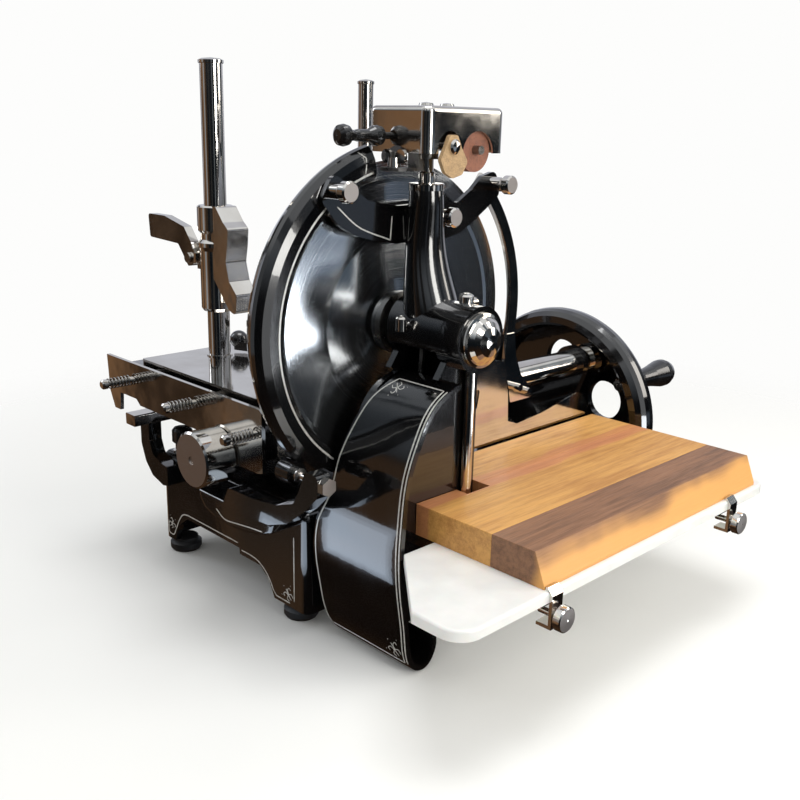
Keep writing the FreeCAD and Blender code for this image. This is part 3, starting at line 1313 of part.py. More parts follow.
def clamp_lever():
    """Flat polished lever that locks the clamp on its post."""
    x, z = d.lever_pivot_x, d.lever_pivot_z
    length = d.lever_length
    form = plate("lever_form", [
        (x + 8.0, z - 6.0), (x - 2.0, z - 9.0), (x - 12.0, z + 3.0), (x - 20.0, z + 12.0), (x - length, z + 14.0),
        (x - length - 2.0, z + 38.0), (x - length * 0.6, z + 38.0), (x - 8.0, z + 30.0), (x + 4.0, z + 16.0),
        (x + 8.5, z + 5.0),
    ], d.lever_thickness, (0.0, d.post_y - 6.6, 0.0), "y", 3.0, [0, 1, 3, 4, 5, 7, 8, 9])
    bore = rod("lever_bore", 3.0 + d.run_gap, 60.0, (x, d.post_y - 50.0, z), "y")
    node("clamp_lever", cut("lever", form, bore))


def release_lever():
    """Black finger lever on the table that frees the feed nut, with its pivot."""
    x, y = d.release_x, d.release_y
    top = d.table_top
    arm = plate("release_arm", [
        (x + 9.0, y - 4.0), (x + 9.0, y + 8.0), (x - 6.0, y + 9.0), (x - 52.0, y - 11.0), (x - 60.0, y - 20.0),
        (x - 50.0, y - 26.0), (x - 4.0, y - 8.0),
    ], 9.6, (0.0, 0.0, top + 3.4), "z", 3.0, [0, 1, 2, 4, 5, 6])
    knob = ball("release_tip", 10.0, (x - 52.0, y - 18.0, top + 14.0))
    flat = block("release_flat", (x - 90.0, y - 60.0, top - 20.0), (x + 20.0, y + 40.0, top + 3.4))
    bore = rod("release_bore", 4.0 + d.run_gap, 60.0, (x, y, top - 10.0))
    node("release_lever", cut("release", fuse("release_whole", arm, knob), flat, bore))


def slice_deck():
    """White tray on two arms, the wooden board on it, and the straps that clamp the tray."""
    notch_y = d.column_back + 8.0
    notch_x = d.apron_right + 3.0
    low = d.tray_top - d.tray_thickness
    right, front, back = d.tray_right, d.tray_front, d.tray_back
    tray = plate("tray_form", [
        (notch_x, front), (right, front), (right, back), (d.deck_left, back), (d.deck_left, notch_y),
        (notch_x, notch_y),
    ], d.tray_thickness, (0.0, 0.0, low), "z", 22.0, [1, 2, 3])
    node("receiving_tray", fillet("tray_soft", tray, 2.5,
                                  lambda e: e.BoundBox.ZLength < 0.01 and e.BoundBox.ZMax > float(low) + 1.0))
    board_low = d.tray_top
    top = board_low + d.board_thickness
    slab = plate("board_form", [
        (d.deck_left, board_low), (d.board_right, board_low), (d.board_right, board_low + 3.0),
        (d.board_right - d.board_bevel, top), (d.deck_left, top),
    ], d.board_back - d.board_front, (0.0, d.board_back, 0.0), "y")
    column_room = block("board_notch", (d.deck_left - 5.0, d.board_front - 5.0, board_low - 1.0),
                        (d.rod_x + d.rod_radius + 4.0, d.column_back + 8.0, top + 1.0))
    keep = block("board_front_tongue", (d.column_right + 0.5, d.board_front - 6.0, board_low - 2.0),
                 (d.board_right + 1.0, d.rod_y - d.rod_radius - 2.0, top + 2.0))
    notch = cut("board_notch_trim", column_room, keep)
    node("wooden_board", cut("board", slab, notch))
    arms = []
    for index, (start, y) in enumerate(((d.column_right, d.front_arm_y), (-d.base_right, d.rear_arm_y))):
        arm_low = low - d.arm_height
        arms.append(block("tray_arm_%d" % index, (start, y - d.arm_width / 2, arm_low),
                          (right - 6.0, y + d.arm_width / 2, low)))
    node("tray_arms", compound("tray_arm_set", arms))
    straps = [tray_clamp(name, y) for name, y in (("front", d.front_arm_y), ("rear", d.rear_arm_y))]
    node("tray_clamps", compound("clamps", straps))


def tray_clamp(name, y):
    """Bent strap over the tray's edge and the thumb screw that draws it to the arm."""
    low = d.tray_top - d.tray_thickness
    width = d.arm_width - 2.0
    x = d.tray_right + 0.2
    top = d.tray_top
    arm_low = low - d.arm_height
    strap = plate("strap_" + name, [
        (x - 4.2, top + 0.2), (x, top + 0.2), (x, arm_low - 14.0), (x - 12.0, arm_low - 14.0),
        (x - 12.0, arm_low - 17.0), (x + 3.0, arm_low - 17.0), (x + 3.0, top - 3.0), (x - 2.0, top + 3.2),
        (x - 4.2, top + 3.2),
    ], width, (0.0, y + width / 2, 0.0), "y")
    hole = rod("strap_hole_" + name, 3.0 + d.run_gap, 40.0, (x - 20.0, y, arm_low - 6.0), "x")
    drilled = cut("strap_drilled_" + name, strap, hole)
    node("thumb_screw_" + name, turned("thumb_" + name, [
        (0.0, 0.0), (3.0, 0.0), (3.0, 17.3), (6.0, 17.3), (6.0, 20.0), (10.0, 20.0), (11.0, 21.0), (11.0, 27.0),
        (10.0, 28.0), (0.0, 28.5),
    ], (x - 14.0, y, arm_low - 6.0), "x"))
    return drilled


def slice_deflector():
    """Thin polished plate beside the blade that turns the slices onto the board, and its rod."""
    low = d.tray_top + d.board_thickness + d.seat_gap
    form = plate("deflector_form", [
        (30.0, low), (d.board_back - 2.0, low), (d.board_back - 2.0, low + 10.0), (d.board_back - 12.0, low + 24.0),
        (d.board_back - 26.0, low + 30.0), (212.0, low + 18.0), (168.0, low + 14.0), (152.0, low + 20.0),
        (150.0, low + 50.0), (142.0, low + 88.0), (96.0, low + 98.0), (58.0, low + 84.0), (40.0, low + 62.0),
    ], d.deflector_thickness, (d.deflector_x, 0.0, 0.0), "x", 6.0, [2, 3, 4, 5, 6, 9, 10, 11])
    window = plate("deflector_window", [
        (68.0, low + 26.0), (100.0, low + 44.0), (104.0, low + 66.0), (70.0, low + 52.0),
    ], 20.0, (d.deflector_x - 10.0, 0.0, 0.0), "x", 3.0)
    feet = block("deflector_foot", (d.deflector_x, 60.0, low), (d.deflector_x + 14.0, 84.0, low + 2.0))
    node("deflector_rod", rod("deflector_rod_form", d.rod_radius, -d.hub_radius - d.seat_gap - d.tray_top,
                              (d.rod_x, d.rod_y, d.tray_top)))
    y, z = d.hook_pin_y, d.hook_pin_z
    start = d.band_back + 6.7
    pins = []
    for index, (dy, dz) in enumerate(((0.0, 0.0), (16.0, -7.0))):
        pins.append(turned("hook_pin_%d" % index, [
            (0.0, 0.0), (4.0, 0.0), (4.0, d.deflector_x + 1.0 - start), (0.0, d.deflector_x + 1.0 - start),
        ], (start, y + dy, z + dz), "x"))
    node("slice_deflector", cut("deflector", fuse("deflector_whole", form, feet, *pins), window))


def sharpener():
    """Two stones under a bright cover on the neck's spindle, with their knob and wing nut."""
    left, right = d.box_left, d.box_right
    front, back, low, top = d.box_front, d.box_back, d.box_bottom, d.box_top
    wall = d.box_wall
    shell = plate("box_outer", [(left, front), (right, front), (right, back), (left, back)], top - low,
                  (0.0, 0.0, low), "z", 9.0)
    soft = fillet("box_soft", shell, 5.0, lambda e: e.BoundBox.ZLength < 0.01 and e.BoundBox.ZMin > float(top) - 0.1)
    inside = plate("box_inner", [
        (left + wall, front + wall), (right - wall, front + wall), (right - wall, back - wall),
        (left + wall, back - wall),
    ], top - low - wall, (0.0, 0.0, low - 1.0), "z", 7.0)
    pull_z = low + 14.0
    screw_places = ((d.neck_x - 3.0, 0.0), (d.neck_x - 8.0, 32.0))
    holes = [rod("box_pull_hole", 3.0 + d.run_gap, 30.0, (12.0, front - 10.0, pull_z), "y")]
    for x, y in screw_places:
        holes.append(rod("box_screw_hole", 2.4 + d.run_gap, 20.0, (x, y, top - 10.0)))
    scallop = [rod("box_scallop_a", 15.0, 12.0, (right - 6.0, d.leaf_y, low + 4.0), "x"),
               rod("box_scallop_b", 20.5, 12.0, (right - 6.0, d.stone_y, low - 1.0), "x")]
    node("sharpener_cover", cut("box", soft, inside, *(scallop + holes)))
    screws = []
    for index, (x, y) in enumerate(screw_places):
        screws.append(turned("box_screw_%d" % index, [
            (0.0, -wall - 1.0), (2.4, -wall - 1.0), (2.4, 0.0), (7.0, 0.0), (6.0, 2.4), (0.0, 3.2),
        ], (x, y, top)))
    bridge = block("bracket_bridge", (d.neck_x - 10.0, -8.0, low + 4.0), (d.neck_x + 6.0, 62.0, low + 9.0))
    upright = block("bracket_upright", (d.neck_x - 8.0, -6.0, low + 8.0), (d.neck_x + 4.0, 6.0, top - wall - 1.0))
    second = block("bracket_second", (d.neck_x - 14.0, 26.0, low + 8.0), (d.neck_x - 2.0, 38.0, top - wall - 1.0))
    sleeve = rod("bracket_sleeve", 10.0, 12.0, (d.neck_x, 0.0, low - 5.0))
    bore = rod("bracket_bore", 6.0 + d.run_gap, 60.0, (d.neck_x, 0.0, low - 20.0))
    axle_a = rod("axle_stone", 4.0, 18.3, (d.neck_x + 5.7, d.stone_y, d.stone_z), "x")
    post_a = block("axle_post", (d.neck_x - 6.0, d.stone_y - 6.0, d.stone_z - 6.0), (d.neck_x + 6.0, d.stone_y + 6.0, low + 9.0))
    node("cover_screws", compound("box_screws", screws))
    node("grinding_stone", turned("stone_form", [
        (4.0 + d.run_gap, 0.0), (d.stone_bore, 0.0), (d.stone_bore, 2.0), (d.stone_radius - 6.0, 2.0),
        (d.stone_radius - 6.0, 0.0), (d.stone_radius, 0.0), (d.stone_radius, d.stone_thickness),
        (4.0 + d.run_gap, d.stone_thickness),
    ], (d.neck_x + 7.0, d.stone_y, d.stone_z), "x"))
    leaf_x = right + d.seat_gap
    leaf = plate("leaf_form", [
        (d.leaf_y - 5.0, d.leaf_z + 15.0), (d.leaf_y - 9.0, d.leaf_z + 6.0), (d.leaf_y - 16.0, d.leaf_z - 6.0),
        (d.leaf_y - 10.0, d.leaf_z - 17.0), (d.leaf_y, d.leaf_z - 22.0), (d.leaf_y + 12.0, d.leaf_z - 19.0),
        (d.leaf_y + 19.0, d.leaf_z - 8.0), (d.leaf_y + 10.0, d.leaf_z + 5.0), (d.leaf_y + 5.0, d.leaf_z + 15.0),
    ], 4.0, (leaf_x, 0.0, 0.0), "x", 4.0)
    leaf_hole = rod("leaf_hole", 3.0 + d.run_gap, 20.0, (leaf_x - 8.0, d.leaf_y, d.leaf_z + 5.0), "x")
    node("leaf_stone", cut("leaf", leaf, leaf_hole))
    node("leaf_screw", turned("leaf_screw_form", [
        (0.0, 0.0), (3.0, 0.0), (3.0, 20.3), (6.5, 20.3), (6.5, 22.0), (4.5, 23.6), (0.0, 24.0),
    ], (leaf_x + 4.3 - 20.3, d.leaf_y, d.leaf_z + 5.0), "x"))
    knob = turned("pull_form", [
        (0.0, 0.0), (5.0, 0.3), (8.6, 3.0), (9.4, 7.0), (8.6, 11.0), (5.2, 15.0), (4.4, 19.0), (5.2, 23.0),
        (5.2, 35.0), (8.2, 40.5), (9.0, 45.0), (8.2, 49.5), (5.0, 53.0), (3.0, 53.2), (3.0, 86.0), (0.0, 86.0),
    ], (12.0, front - 59.5, pull_z), "y")
    node("sharpener_pull", knob)
    wing = turned("wing_hub", [(3.0 + d.run_gap, 0.0), (6.0, 0.0), (5.0, 8.0), (3.0 + d.run_gap, 8.0)],
                  (d.wing_x, d.wing_y, d.wing_z))
    lobes = []
    for side in (-1.0, 1.0):
        lobes.append(rod("wing_lobe", 6.0, 3.0, (d.wing_x + side * 9.0, d.wing_y - 1.5, d.wing_z + 9.0), "y"))
    wing_bore = rod("wing_bore", 3.0 + d.run_gap, 40.0, (d.wing_x, d.wing_y, d.wing_z - 10.0))
    node("wing_nut", cut("wing", fuse("wing_whole", wing, *lobes), wing_bore))
    strap = block("clip_strap", (d.wing_x - 8.0, d.wing_y - 9.0, d.wing_z - 3.3), (d.neck_x - 1.0, d.wing_y + 9.0, d.wing_z - 0.3))
    arm = block("clip_arm", (d.neck_x - 12.0, d.wing_y - 9.0, d.wing_z - 3.3), (d.neck_x + 4.0, -11.0, d.wing_z - 0.3))
    link = block("clip_link", (d.neck_x - 11.0, -13.0, d.wing_z - 3.3), (d.neck_x + 3.0, -7.0, low + 8.0))
    stud = rod("clip_stud", 3.0, 16.0, (d.wing_x, d.wing_y, d.wing_z - 3.3))
    leaf_bore = rod("bracket_leaf_bore", 3.0 + d.run_gap, 60.0, (d.neck_x, d.leaf_y, d.leaf_z + 5.0), "x")
    core = cut("bracket_core", fuse("bracket_pieces", bridge, upright, second, sleeve, axle_a, post_a), bore, leaf_bore)
    clip = fuse("bracket_clip", strap, arm, link, stud)
    node("sharpener_bracket", fuse("bracket", core, clip))


MAKERS = (
    base_casting, rubber_feet, curved_apron, knife_column, neck_column, column_collar, hub_dome_cap, oil_cups,
    ring_guard, guard_band, guard_yoke, guard_nuts, guard_foot, guard_screw, blade, knife_shaft, blade_screws,
    bearing_bushes, gear_train, drive_chain, flywheel, crank_shaft, handle_parts, guide_rails, rail_arms,
    corner_stud, front_bracket, carriage, feed_screw, end_plate, plate_screws, plate_springs, thickness_knob,
    meat_table, clamp_posts, clamp_body, press_arm, clamp_lever, release_lever, slice_deck, slice_deflector,
    sharpener,
)


def main():
    for maker in MAKERS:
        maker()
    doc.recompute()
    for item in doc.Objects:
        if "Invalid" in item.State or "Error" in item.State:
            raise RuntimeError("%s is %s" % (item.Label, item.State))
    os.makedirs("parts", exist_ok=True)
    for item in nodes:
        if item.Shape.isNull() or not item.Shape.isValid():
            raise RuntimeError("%s has no valid solid" % item.Label)
        item.Shape.exportStep("parts/%s.step" % item.Label)
        box = item.Shape.BoundBox
        print("%-20s %d solids %.1f cm3 x %.1f..%.1f y %.1f..%.1f z %.1f..%.1f" % (
            item.Label, len(item.Shape.Solids), item.Shape.Volume / 1000.0, box.XMin, box.XMax,
            box.YMin, box.YMax, box.ZMin, box.ZMax))


main()
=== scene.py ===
"""Hand crank meat slicer: finishes, painted lines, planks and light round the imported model."""

import json
import math

import bmesh
import bpy
from mathutils import Matrix, Vector
from mathutils.bvhtree import BVHTree


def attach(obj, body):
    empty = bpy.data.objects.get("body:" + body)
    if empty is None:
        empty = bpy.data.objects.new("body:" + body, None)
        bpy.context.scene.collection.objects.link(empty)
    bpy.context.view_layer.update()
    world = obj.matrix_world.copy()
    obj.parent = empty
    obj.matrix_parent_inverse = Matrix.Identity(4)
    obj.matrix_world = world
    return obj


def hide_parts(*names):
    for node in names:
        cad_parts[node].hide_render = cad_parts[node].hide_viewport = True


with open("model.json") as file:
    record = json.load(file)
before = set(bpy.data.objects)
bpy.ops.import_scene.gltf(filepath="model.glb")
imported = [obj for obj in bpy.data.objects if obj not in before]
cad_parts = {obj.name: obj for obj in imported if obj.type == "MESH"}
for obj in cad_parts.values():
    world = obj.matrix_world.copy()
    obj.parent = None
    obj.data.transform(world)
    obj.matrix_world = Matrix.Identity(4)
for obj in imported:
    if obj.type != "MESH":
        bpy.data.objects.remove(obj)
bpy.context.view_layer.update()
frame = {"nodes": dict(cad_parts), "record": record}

# Places below are in millimetres from the blade's centre: +X to the board, +Y to the flywheel, +Z up.
BLADE_CENTRE = Vector((26.15, -146.5, 305.0))
BODY_OF = {name: body for body, names in frame["record"]["behaviour"]["bodies"].items() for name in names}
SLOT_OF = {row["node"]: row["material_slot"] for row in frame["record"]["subparts"]}


def spot(x, y, z):
    return (Vector((x, y, z)) + BLADE_CENTRE) / 1000.0


def linear(code):
    """An sRGB hex colour as the linear values that a shader takes."""
    values = [int(code[i:i + 2], 16) / 255.0 for i in (1, 3, 5)]
    return [v / 12.92 if v <= 0.04045 else ((v + 0.055) / 1.055) ** 2.4 for v in values] + [1.0]


def per_metre(millimetres):
    """Texture scale for a pattern whose grains are this far apart."""
    return 1000.0 / millimetres


def add(tree, kind, inputs=None, **settings):
    """One shader node with its settings, values and links."""
    made = tree.nodes.new(kind)
    for name, value in settings.items():
        if name == "stops":
            ramp = made.color_ramp
            while len(ramp.elements) < len(value):
                ramp.elements.new(0.5)
            for element, (place, code) in zip(ramp.elements, value):
                element.position = place
                element.color = linear(code) if isinstance(code, str) else (code, code, code, 1.0)
        else:
            setattr(made, name, value)
    for name, value in (inputs or {}).items():
        socket = made.inputs[name]
        if isinstance(value, bpy.types.NodeSocket):
            tree.links.new(value, socket)
        else:
            socket.default_value = value
    return made


def blank_finish(name, **values):
    """A material with its shader, and the place on the piece that its patterns follow."""
    finish = bpy.data.materials.new(name)
    finish.use_nodes = True
    tree = finish.node_tree
    shader = tree.nodes["Principled BSDF"]
    for socket, value in values.items():
        shader.inputs[socket.replace("_", " ")].default_value = value
    place = add(tree, "ShaderNodeTexCoord").outputs["Object"]
    return finish, tree, shader, place


def join(tree, shader, **sources):
    """Feeds each of the shader's named sockets from a node's output."""
    for socket, source in sources.items():
        tree.links.new(source, shader.inputs[socket.replace("_", " ")])


def stoved_enamel():
    """Black stoving enamel, sprayed and baked on cast iron: wet gloss, faint orange peel, wiping haze."""
    finish, tree, shader, place = blank_finish("stoved_black_enamel", Coat_Weight=1.0, Coat_Roughness=0.025,
                                               Coat_IOR=1.55, IOR=1.5)
    haze = add(tree, "ShaderNodeTexNoise", {"Vector": place, "Scale": per_metre(55.0), "Detail": 5.0})
    peel = add(tree, "ShaderNodeTexNoise", {"Vector": place, "Scale": per_metre(7.0), "Detail": 1.0})
    black = add(tree, "ShaderNodeValToRGB", {"Fac": haze.outputs["Fac"]},
                stops=[(0.3, "#060607"), (0.75, "#0e0d0d")])
    gloss = add(tree, "ShaderNodeMapRange", {"Value": haze.outputs["Fac"], "From Min": 0.3, "From Max": 0.75,
                                             "To Min": 0.08, "To Max": 0.2})
    skin = add(tree, "ShaderNodeBump", {"Height": peel.outputs["Fac"], "Strength": 0.06, "Distance": 0.0005})
    join(tree, shader, Base_Color=black.outputs["Color"], Roughness=gloss.outputs["Result"],
         Normal=skin.outputs["Normal"], Coat_Normal=skin.outputs["Normal"])
    return finish


def bright_plate():
    """Nickel plate over steel, buffed by hand: mirror bright, with soft buffing waves and fine wiping marks."""
    finish, tree, shader, place = blank_finish("buffed_nickel_plate", Metallic=1.0)
    cloud = add(tree, "ShaderNodeTexNoise", {"Vector": place, "Scale": per_metre(40.0), "Detail": 6.0})
    wave = add(tree, "ShaderNodeTexNoise", {"Vector": place, "Scale": per_metre(16.0), "Detail": 1.0})
    tone = add(tree, "ShaderNodeValToRGB", {"Fac": cloud.outputs["Fac"]},
               stops=[(0.3, "#cfcac3"), (0.7, "#e3e0db")])
    gloss = add(tree, "ShaderNodeMapRange", {"Value": cloud.outputs["Fac"], "From Min": 0.35, "From Max": 0.7,
                                             "To Min": 0.05, "To Max": 0.14})
    skin = add(tree, "ShaderNodeBump", {"Height": wave.outputs["Fac"], "Strength": 0.1, "Distance": 0.0008})
    join(tree, shader, Base_Color=tone.outputs["Color"], Roughness=gloss.outputs["Result"],
         Normal=skin.outputs["Normal"])
    return finish


def ground_blade_steel():
    """Hardened knife steel, ground on a turning table: rings round the hub that pull highlights into fans."""
    finish, tree, shader, place = blank_finish("ground_knife_steel", Metallic=1.0, Anisotropic=0.55)
    centred = add(tree, "ShaderNodeVectorMath", {0: place, 1: spot(0.0, 0.0, 0.0)}, operation="SUBTRACT")
    axes = add(tree, "ShaderNodeSeparateXYZ", {0: centred.outputs[0]})
    flat = add(tree, "ShaderNodeCombineXYZ", {"X": axes.outputs["Y"], "Y": axes.outputs["Z"]})
    reach = add(tree, "ShaderNodeVectorMath", {0: flat.outputs[0]}, operation="LENGTH")
    # Grinding rings are about 0.2 mm apart. They are drawn at 1.2 mm, so that the picture can hold them.
    rings = add(tree, "ShaderNodeTexNoise", {"W": reach.outputs["Value"], "Scale": per_metre(1.2), "Detail": 2.0},
                noise_dimensions="1D")
    tone = add(tree, "ShaderNodeValToRGB", {"Fac": rings.outputs["Fac"]},
               stops=[(0.3, "#b4b8bd"), (0.7, "#d4d7da")])
    gloss = add(tree, "ShaderNodeMapRange", {"Value": rings.outputs["Fac"], "From Min": 0.3, "From Max": 0.7,
                                             "To Min": 0.12, "To Max": 0.2})
    skin = add(tree, "ShaderNodeBump", {"Height": rings.outputs["Fac"], "Strength": 0.04, "Distance": 0.0003})
    around = add(tree, "ShaderNodeTangent", direction_type="RADIAL", axis="X")
    join(tree, shader, Base_Color=tone.outputs["Color"], Roughness=gloss.outputs["Result"],
         Normal=skin.outputs["Normal"], Tangent=around.outputs["Tangent"])
    return finish


def turned_steel():
    """Bare machine steel, turned and oiled: fine tool marks and a darker film of oil."""
    finish, tree, shader, place = blank_finish("turned_machine_steel", Metallic=1.0)
    marks = add(tree, "ShaderNodeTexNoise", {"Vector": place, "Scale": per_metre(2.5), "Detail": 3.0})
    oil = add(tree, "ShaderNodeTexNoise", {"Vector": place, "Scale": per_metre(18.0), "Detail": 4.0})
    tone = add(tree, "ShaderNodeValToRGB", {"Fac": oil.outputs["Fac"]},
               stops=[(0.35, "#7d7a76"), (0.7, "#a8a7a4")])
    gloss = add(tree, "ShaderNodeMapRange", {"Value": oil.outputs["Fac"], "From Min": 0.3, "From Max": 0.7,
                                             "To Min": 0.22, "To Max": 0.38})
    skin = add(tree, "ShaderNodeBump", {"Height": marks.outputs["Fac"], "Strength": 0.12, "Distance": 0.0002})
    join(tree, shader, Base_Color=tone.outputs["Color"], Roughness=gloss.outputs["Result"],
         Normal=skin.outputs["Normal"])
    return finish


def cast_bronze():
    """Cast and bored bearing bronze: warm metal with a dull oiled skin."""
    finish, tree, shader, place = blank_finish("bored_bearing_bronze", Metallic=1.0)
    cloud = add(tree, "ShaderNodeTexNoise", {"Vector": place, "Scale": per_metre(9.0), "Detail": 4.0})
    tone = add(tree, "ShaderNodeValToRGB", {"Fac": cloud.outputs["Fac"]},
               stops=[(0.3, "#8f6530"), (0.7, "#b98a4a")])
    gloss = add(tree, "ShaderNodeMapRange", {"Value": cloud.outputs["Fac"], "To Min": 0.25, "To Max": 0.45})
    join(tree, shader, Base_Color=tone.outputs["Color"], Roughness=gloss.outputs["Result"])
    return finish


def poly_tray():
    """White polyethylene cutting board sheet, planed: waxy, faintly see-through, with soft scuffs."""
    finish, tree, shader, place = blank_finish("planed_white_polyethylene", Subsurface_Weight=0.12,
                                               Subsurface_Scale=0.004, IOR=1.51)
    scuff = add(tree, "ShaderNodeTexNoise", {"Vector": place, "Scale": per_metre(30.0), "Detail": 6.0})
    grain = add(tree, "ShaderNodeTexNoise", {"Vector": place, "Scale": per_metre(0.9), "Detail": 2.0})
    tone = add(tree, "ShaderNodeValToRGB", {"Fac": scuff.outputs["Fac"]},
               stops=[(0.3, "#e6e6e4"), (0.7, "#f2f2ef")])
    gloss = add(tree, "ShaderNodeMapRange", {"Value": scuff.outputs["Fac"], "From Min": 0.3, "From Max": 0.7,
                                             "To Min": 0.28, "To Max": 0.42})
    skin = add(tree, "ShaderNodeBump", {"Height": grain.outputs["Fac"], "Strength": 0.12, "Distance": 0.00015})
    join(tree, shader, Base_Color=tone.outputs["Color"], Roughness=gloss.outputs["Result"],
         Normal=skin.outputs["Normal"])
    return finish


def moulded_rubber():
    """Black natural rubber, moulded: matte, with a fine pebble and a dusty bloom."""
    finish, tree, shader, place = blank_finish("moulded_black_rubber", IOR=1.52)
    pebble = add(tree, "ShaderNodeTexNoise", {"Vector": place, "Scale": per_metre(0.8), "Detail": 3.0})
    bloom = add(tree, "ShaderNodeTexNoise", {"Vector": place, "Scale": per_metre(12.0), "Detail": 3.0})
    tone = add(tree, "ShaderNodeValToRGB", {"Fac": bloom.outputs["Fac"]},
               stops=[(0.3, "#0f0f10"), (0.75, "#1d1c1c")])
    gloss = add(tree, "ShaderNodeMapRange", {"Value": bloom.outputs["Fac"], "To Min": 0.45, "To Max": 0.7})
    skin = add(tree, "ShaderNodeBump", {"Height": pebble.outputs["Fac"], "Strength": 0.25, "Distance": 0.0002})
    join(tree, shader, Base_Color=tone.outputs["Color"], Roughness=gloss.outputs["Result"],
         Normal=skin.outputs["Normal"])
    return finish


def black_phenolic():
    """Black phenolic resin, pressed and buffed: hard, glossy, a little brown where it is handled."""
    finish, tree, shader, place = blank_finish("pressed_black_phenolic", IOR=1.6, Coat_Weight=0.4,
                                               Coat_Roughness=0.08)
    hands = add(tree, "ShaderNodeTexNoise", {"Vector": place, "Scale": per_metre(22.0), "Detail": 4.0})
    tone = add(tree, "ShaderNodeValToRGB", {"Fac": hands.outputs["Fac"]},
               stops=[(0.3, "#0a0a0b"), (0.75, "#161312")])
    gloss = add(tree, "ShaderNodeMapRange", {"Value": hands.outputs["Fac"], "To Min": 0.1, "To Max": 0.3})
    join(tree, shader, Base_Color=tone.outputs["Color"], Roughness=gloss.outputs["Result"])
    return finish


def bonded_stone(name, dark, light, grit):
    """Bonded aluminium oxide, pressed and fired: matte, with its grit in relief."""
    finish, tree, shader, place = blank_finish(name, IOR=1.76)
    grains = add(tree, "ShaderNodeTexVoronoi", {"Vector": place, "Scale": per_metre(grit)})
    wear = add(tree, "ShaderNodeTexNoise", {"Vector": place, "Scale": per_metre(7.0), "Detail": 5.0})
    mixed = add(tree, "ShaderNodeMath", {0: grains.outputs["Distance"], 1: wear.outputs["Fac"]},
                operation="MULTIPLY")
    tone = add(tree, "ShaderNodeValToRGB", {"Fac": mixed.outputs[0]}, stops=[(0.05, dark), (0.35, light)])
    gloss = add(tree, "ShaderNodeMapRange", {"Value": wear.outputs["Fac"], "To Min": 0.6, "To Max": 0.9})
    skin = add(tree, "ShaderNodeBump", {"Height": grains.outputs["Distance"], "Strength": 0.4, "Distance": 0.0003})
    join(tree, shader, Base_Color=tone.outputs["Color"], Roughness=gloss.outputs["Result"],
         Normal=skin.outputs["Normal"])
    return finish


def silver_line_paint():
    """Silver sign enamel, drawn by hand with a lining brush: thin metal flake paint that varies in cover."""
    finish, tree, shader, place = blank_finish("hand_drawn_silver_line_and_painted_highlight", Metallic=0.35)
    cover = add(tree, "ShaderNodeTexNoise", {"Vector": place, "Scale": per_metre(3.0), "Detail": 3.0})
    tone = add(tree, "ShaderNodeValToRGB", {"Fac": cover.outputs["Fac"]},
               stops=[(0.25, "#b3b2ad"), (0.7, "#dddcd7")])
    gloss = add(tree, "ShaderNodeMapRange", {"Value": cover.outputs["Fac"], "To Min": 0.25, "To Max": 0.45})
    join(tree, shader, Base_Color=tone.outputs["Color"], Roughness=gloss.outputs["Result"])
    return finish


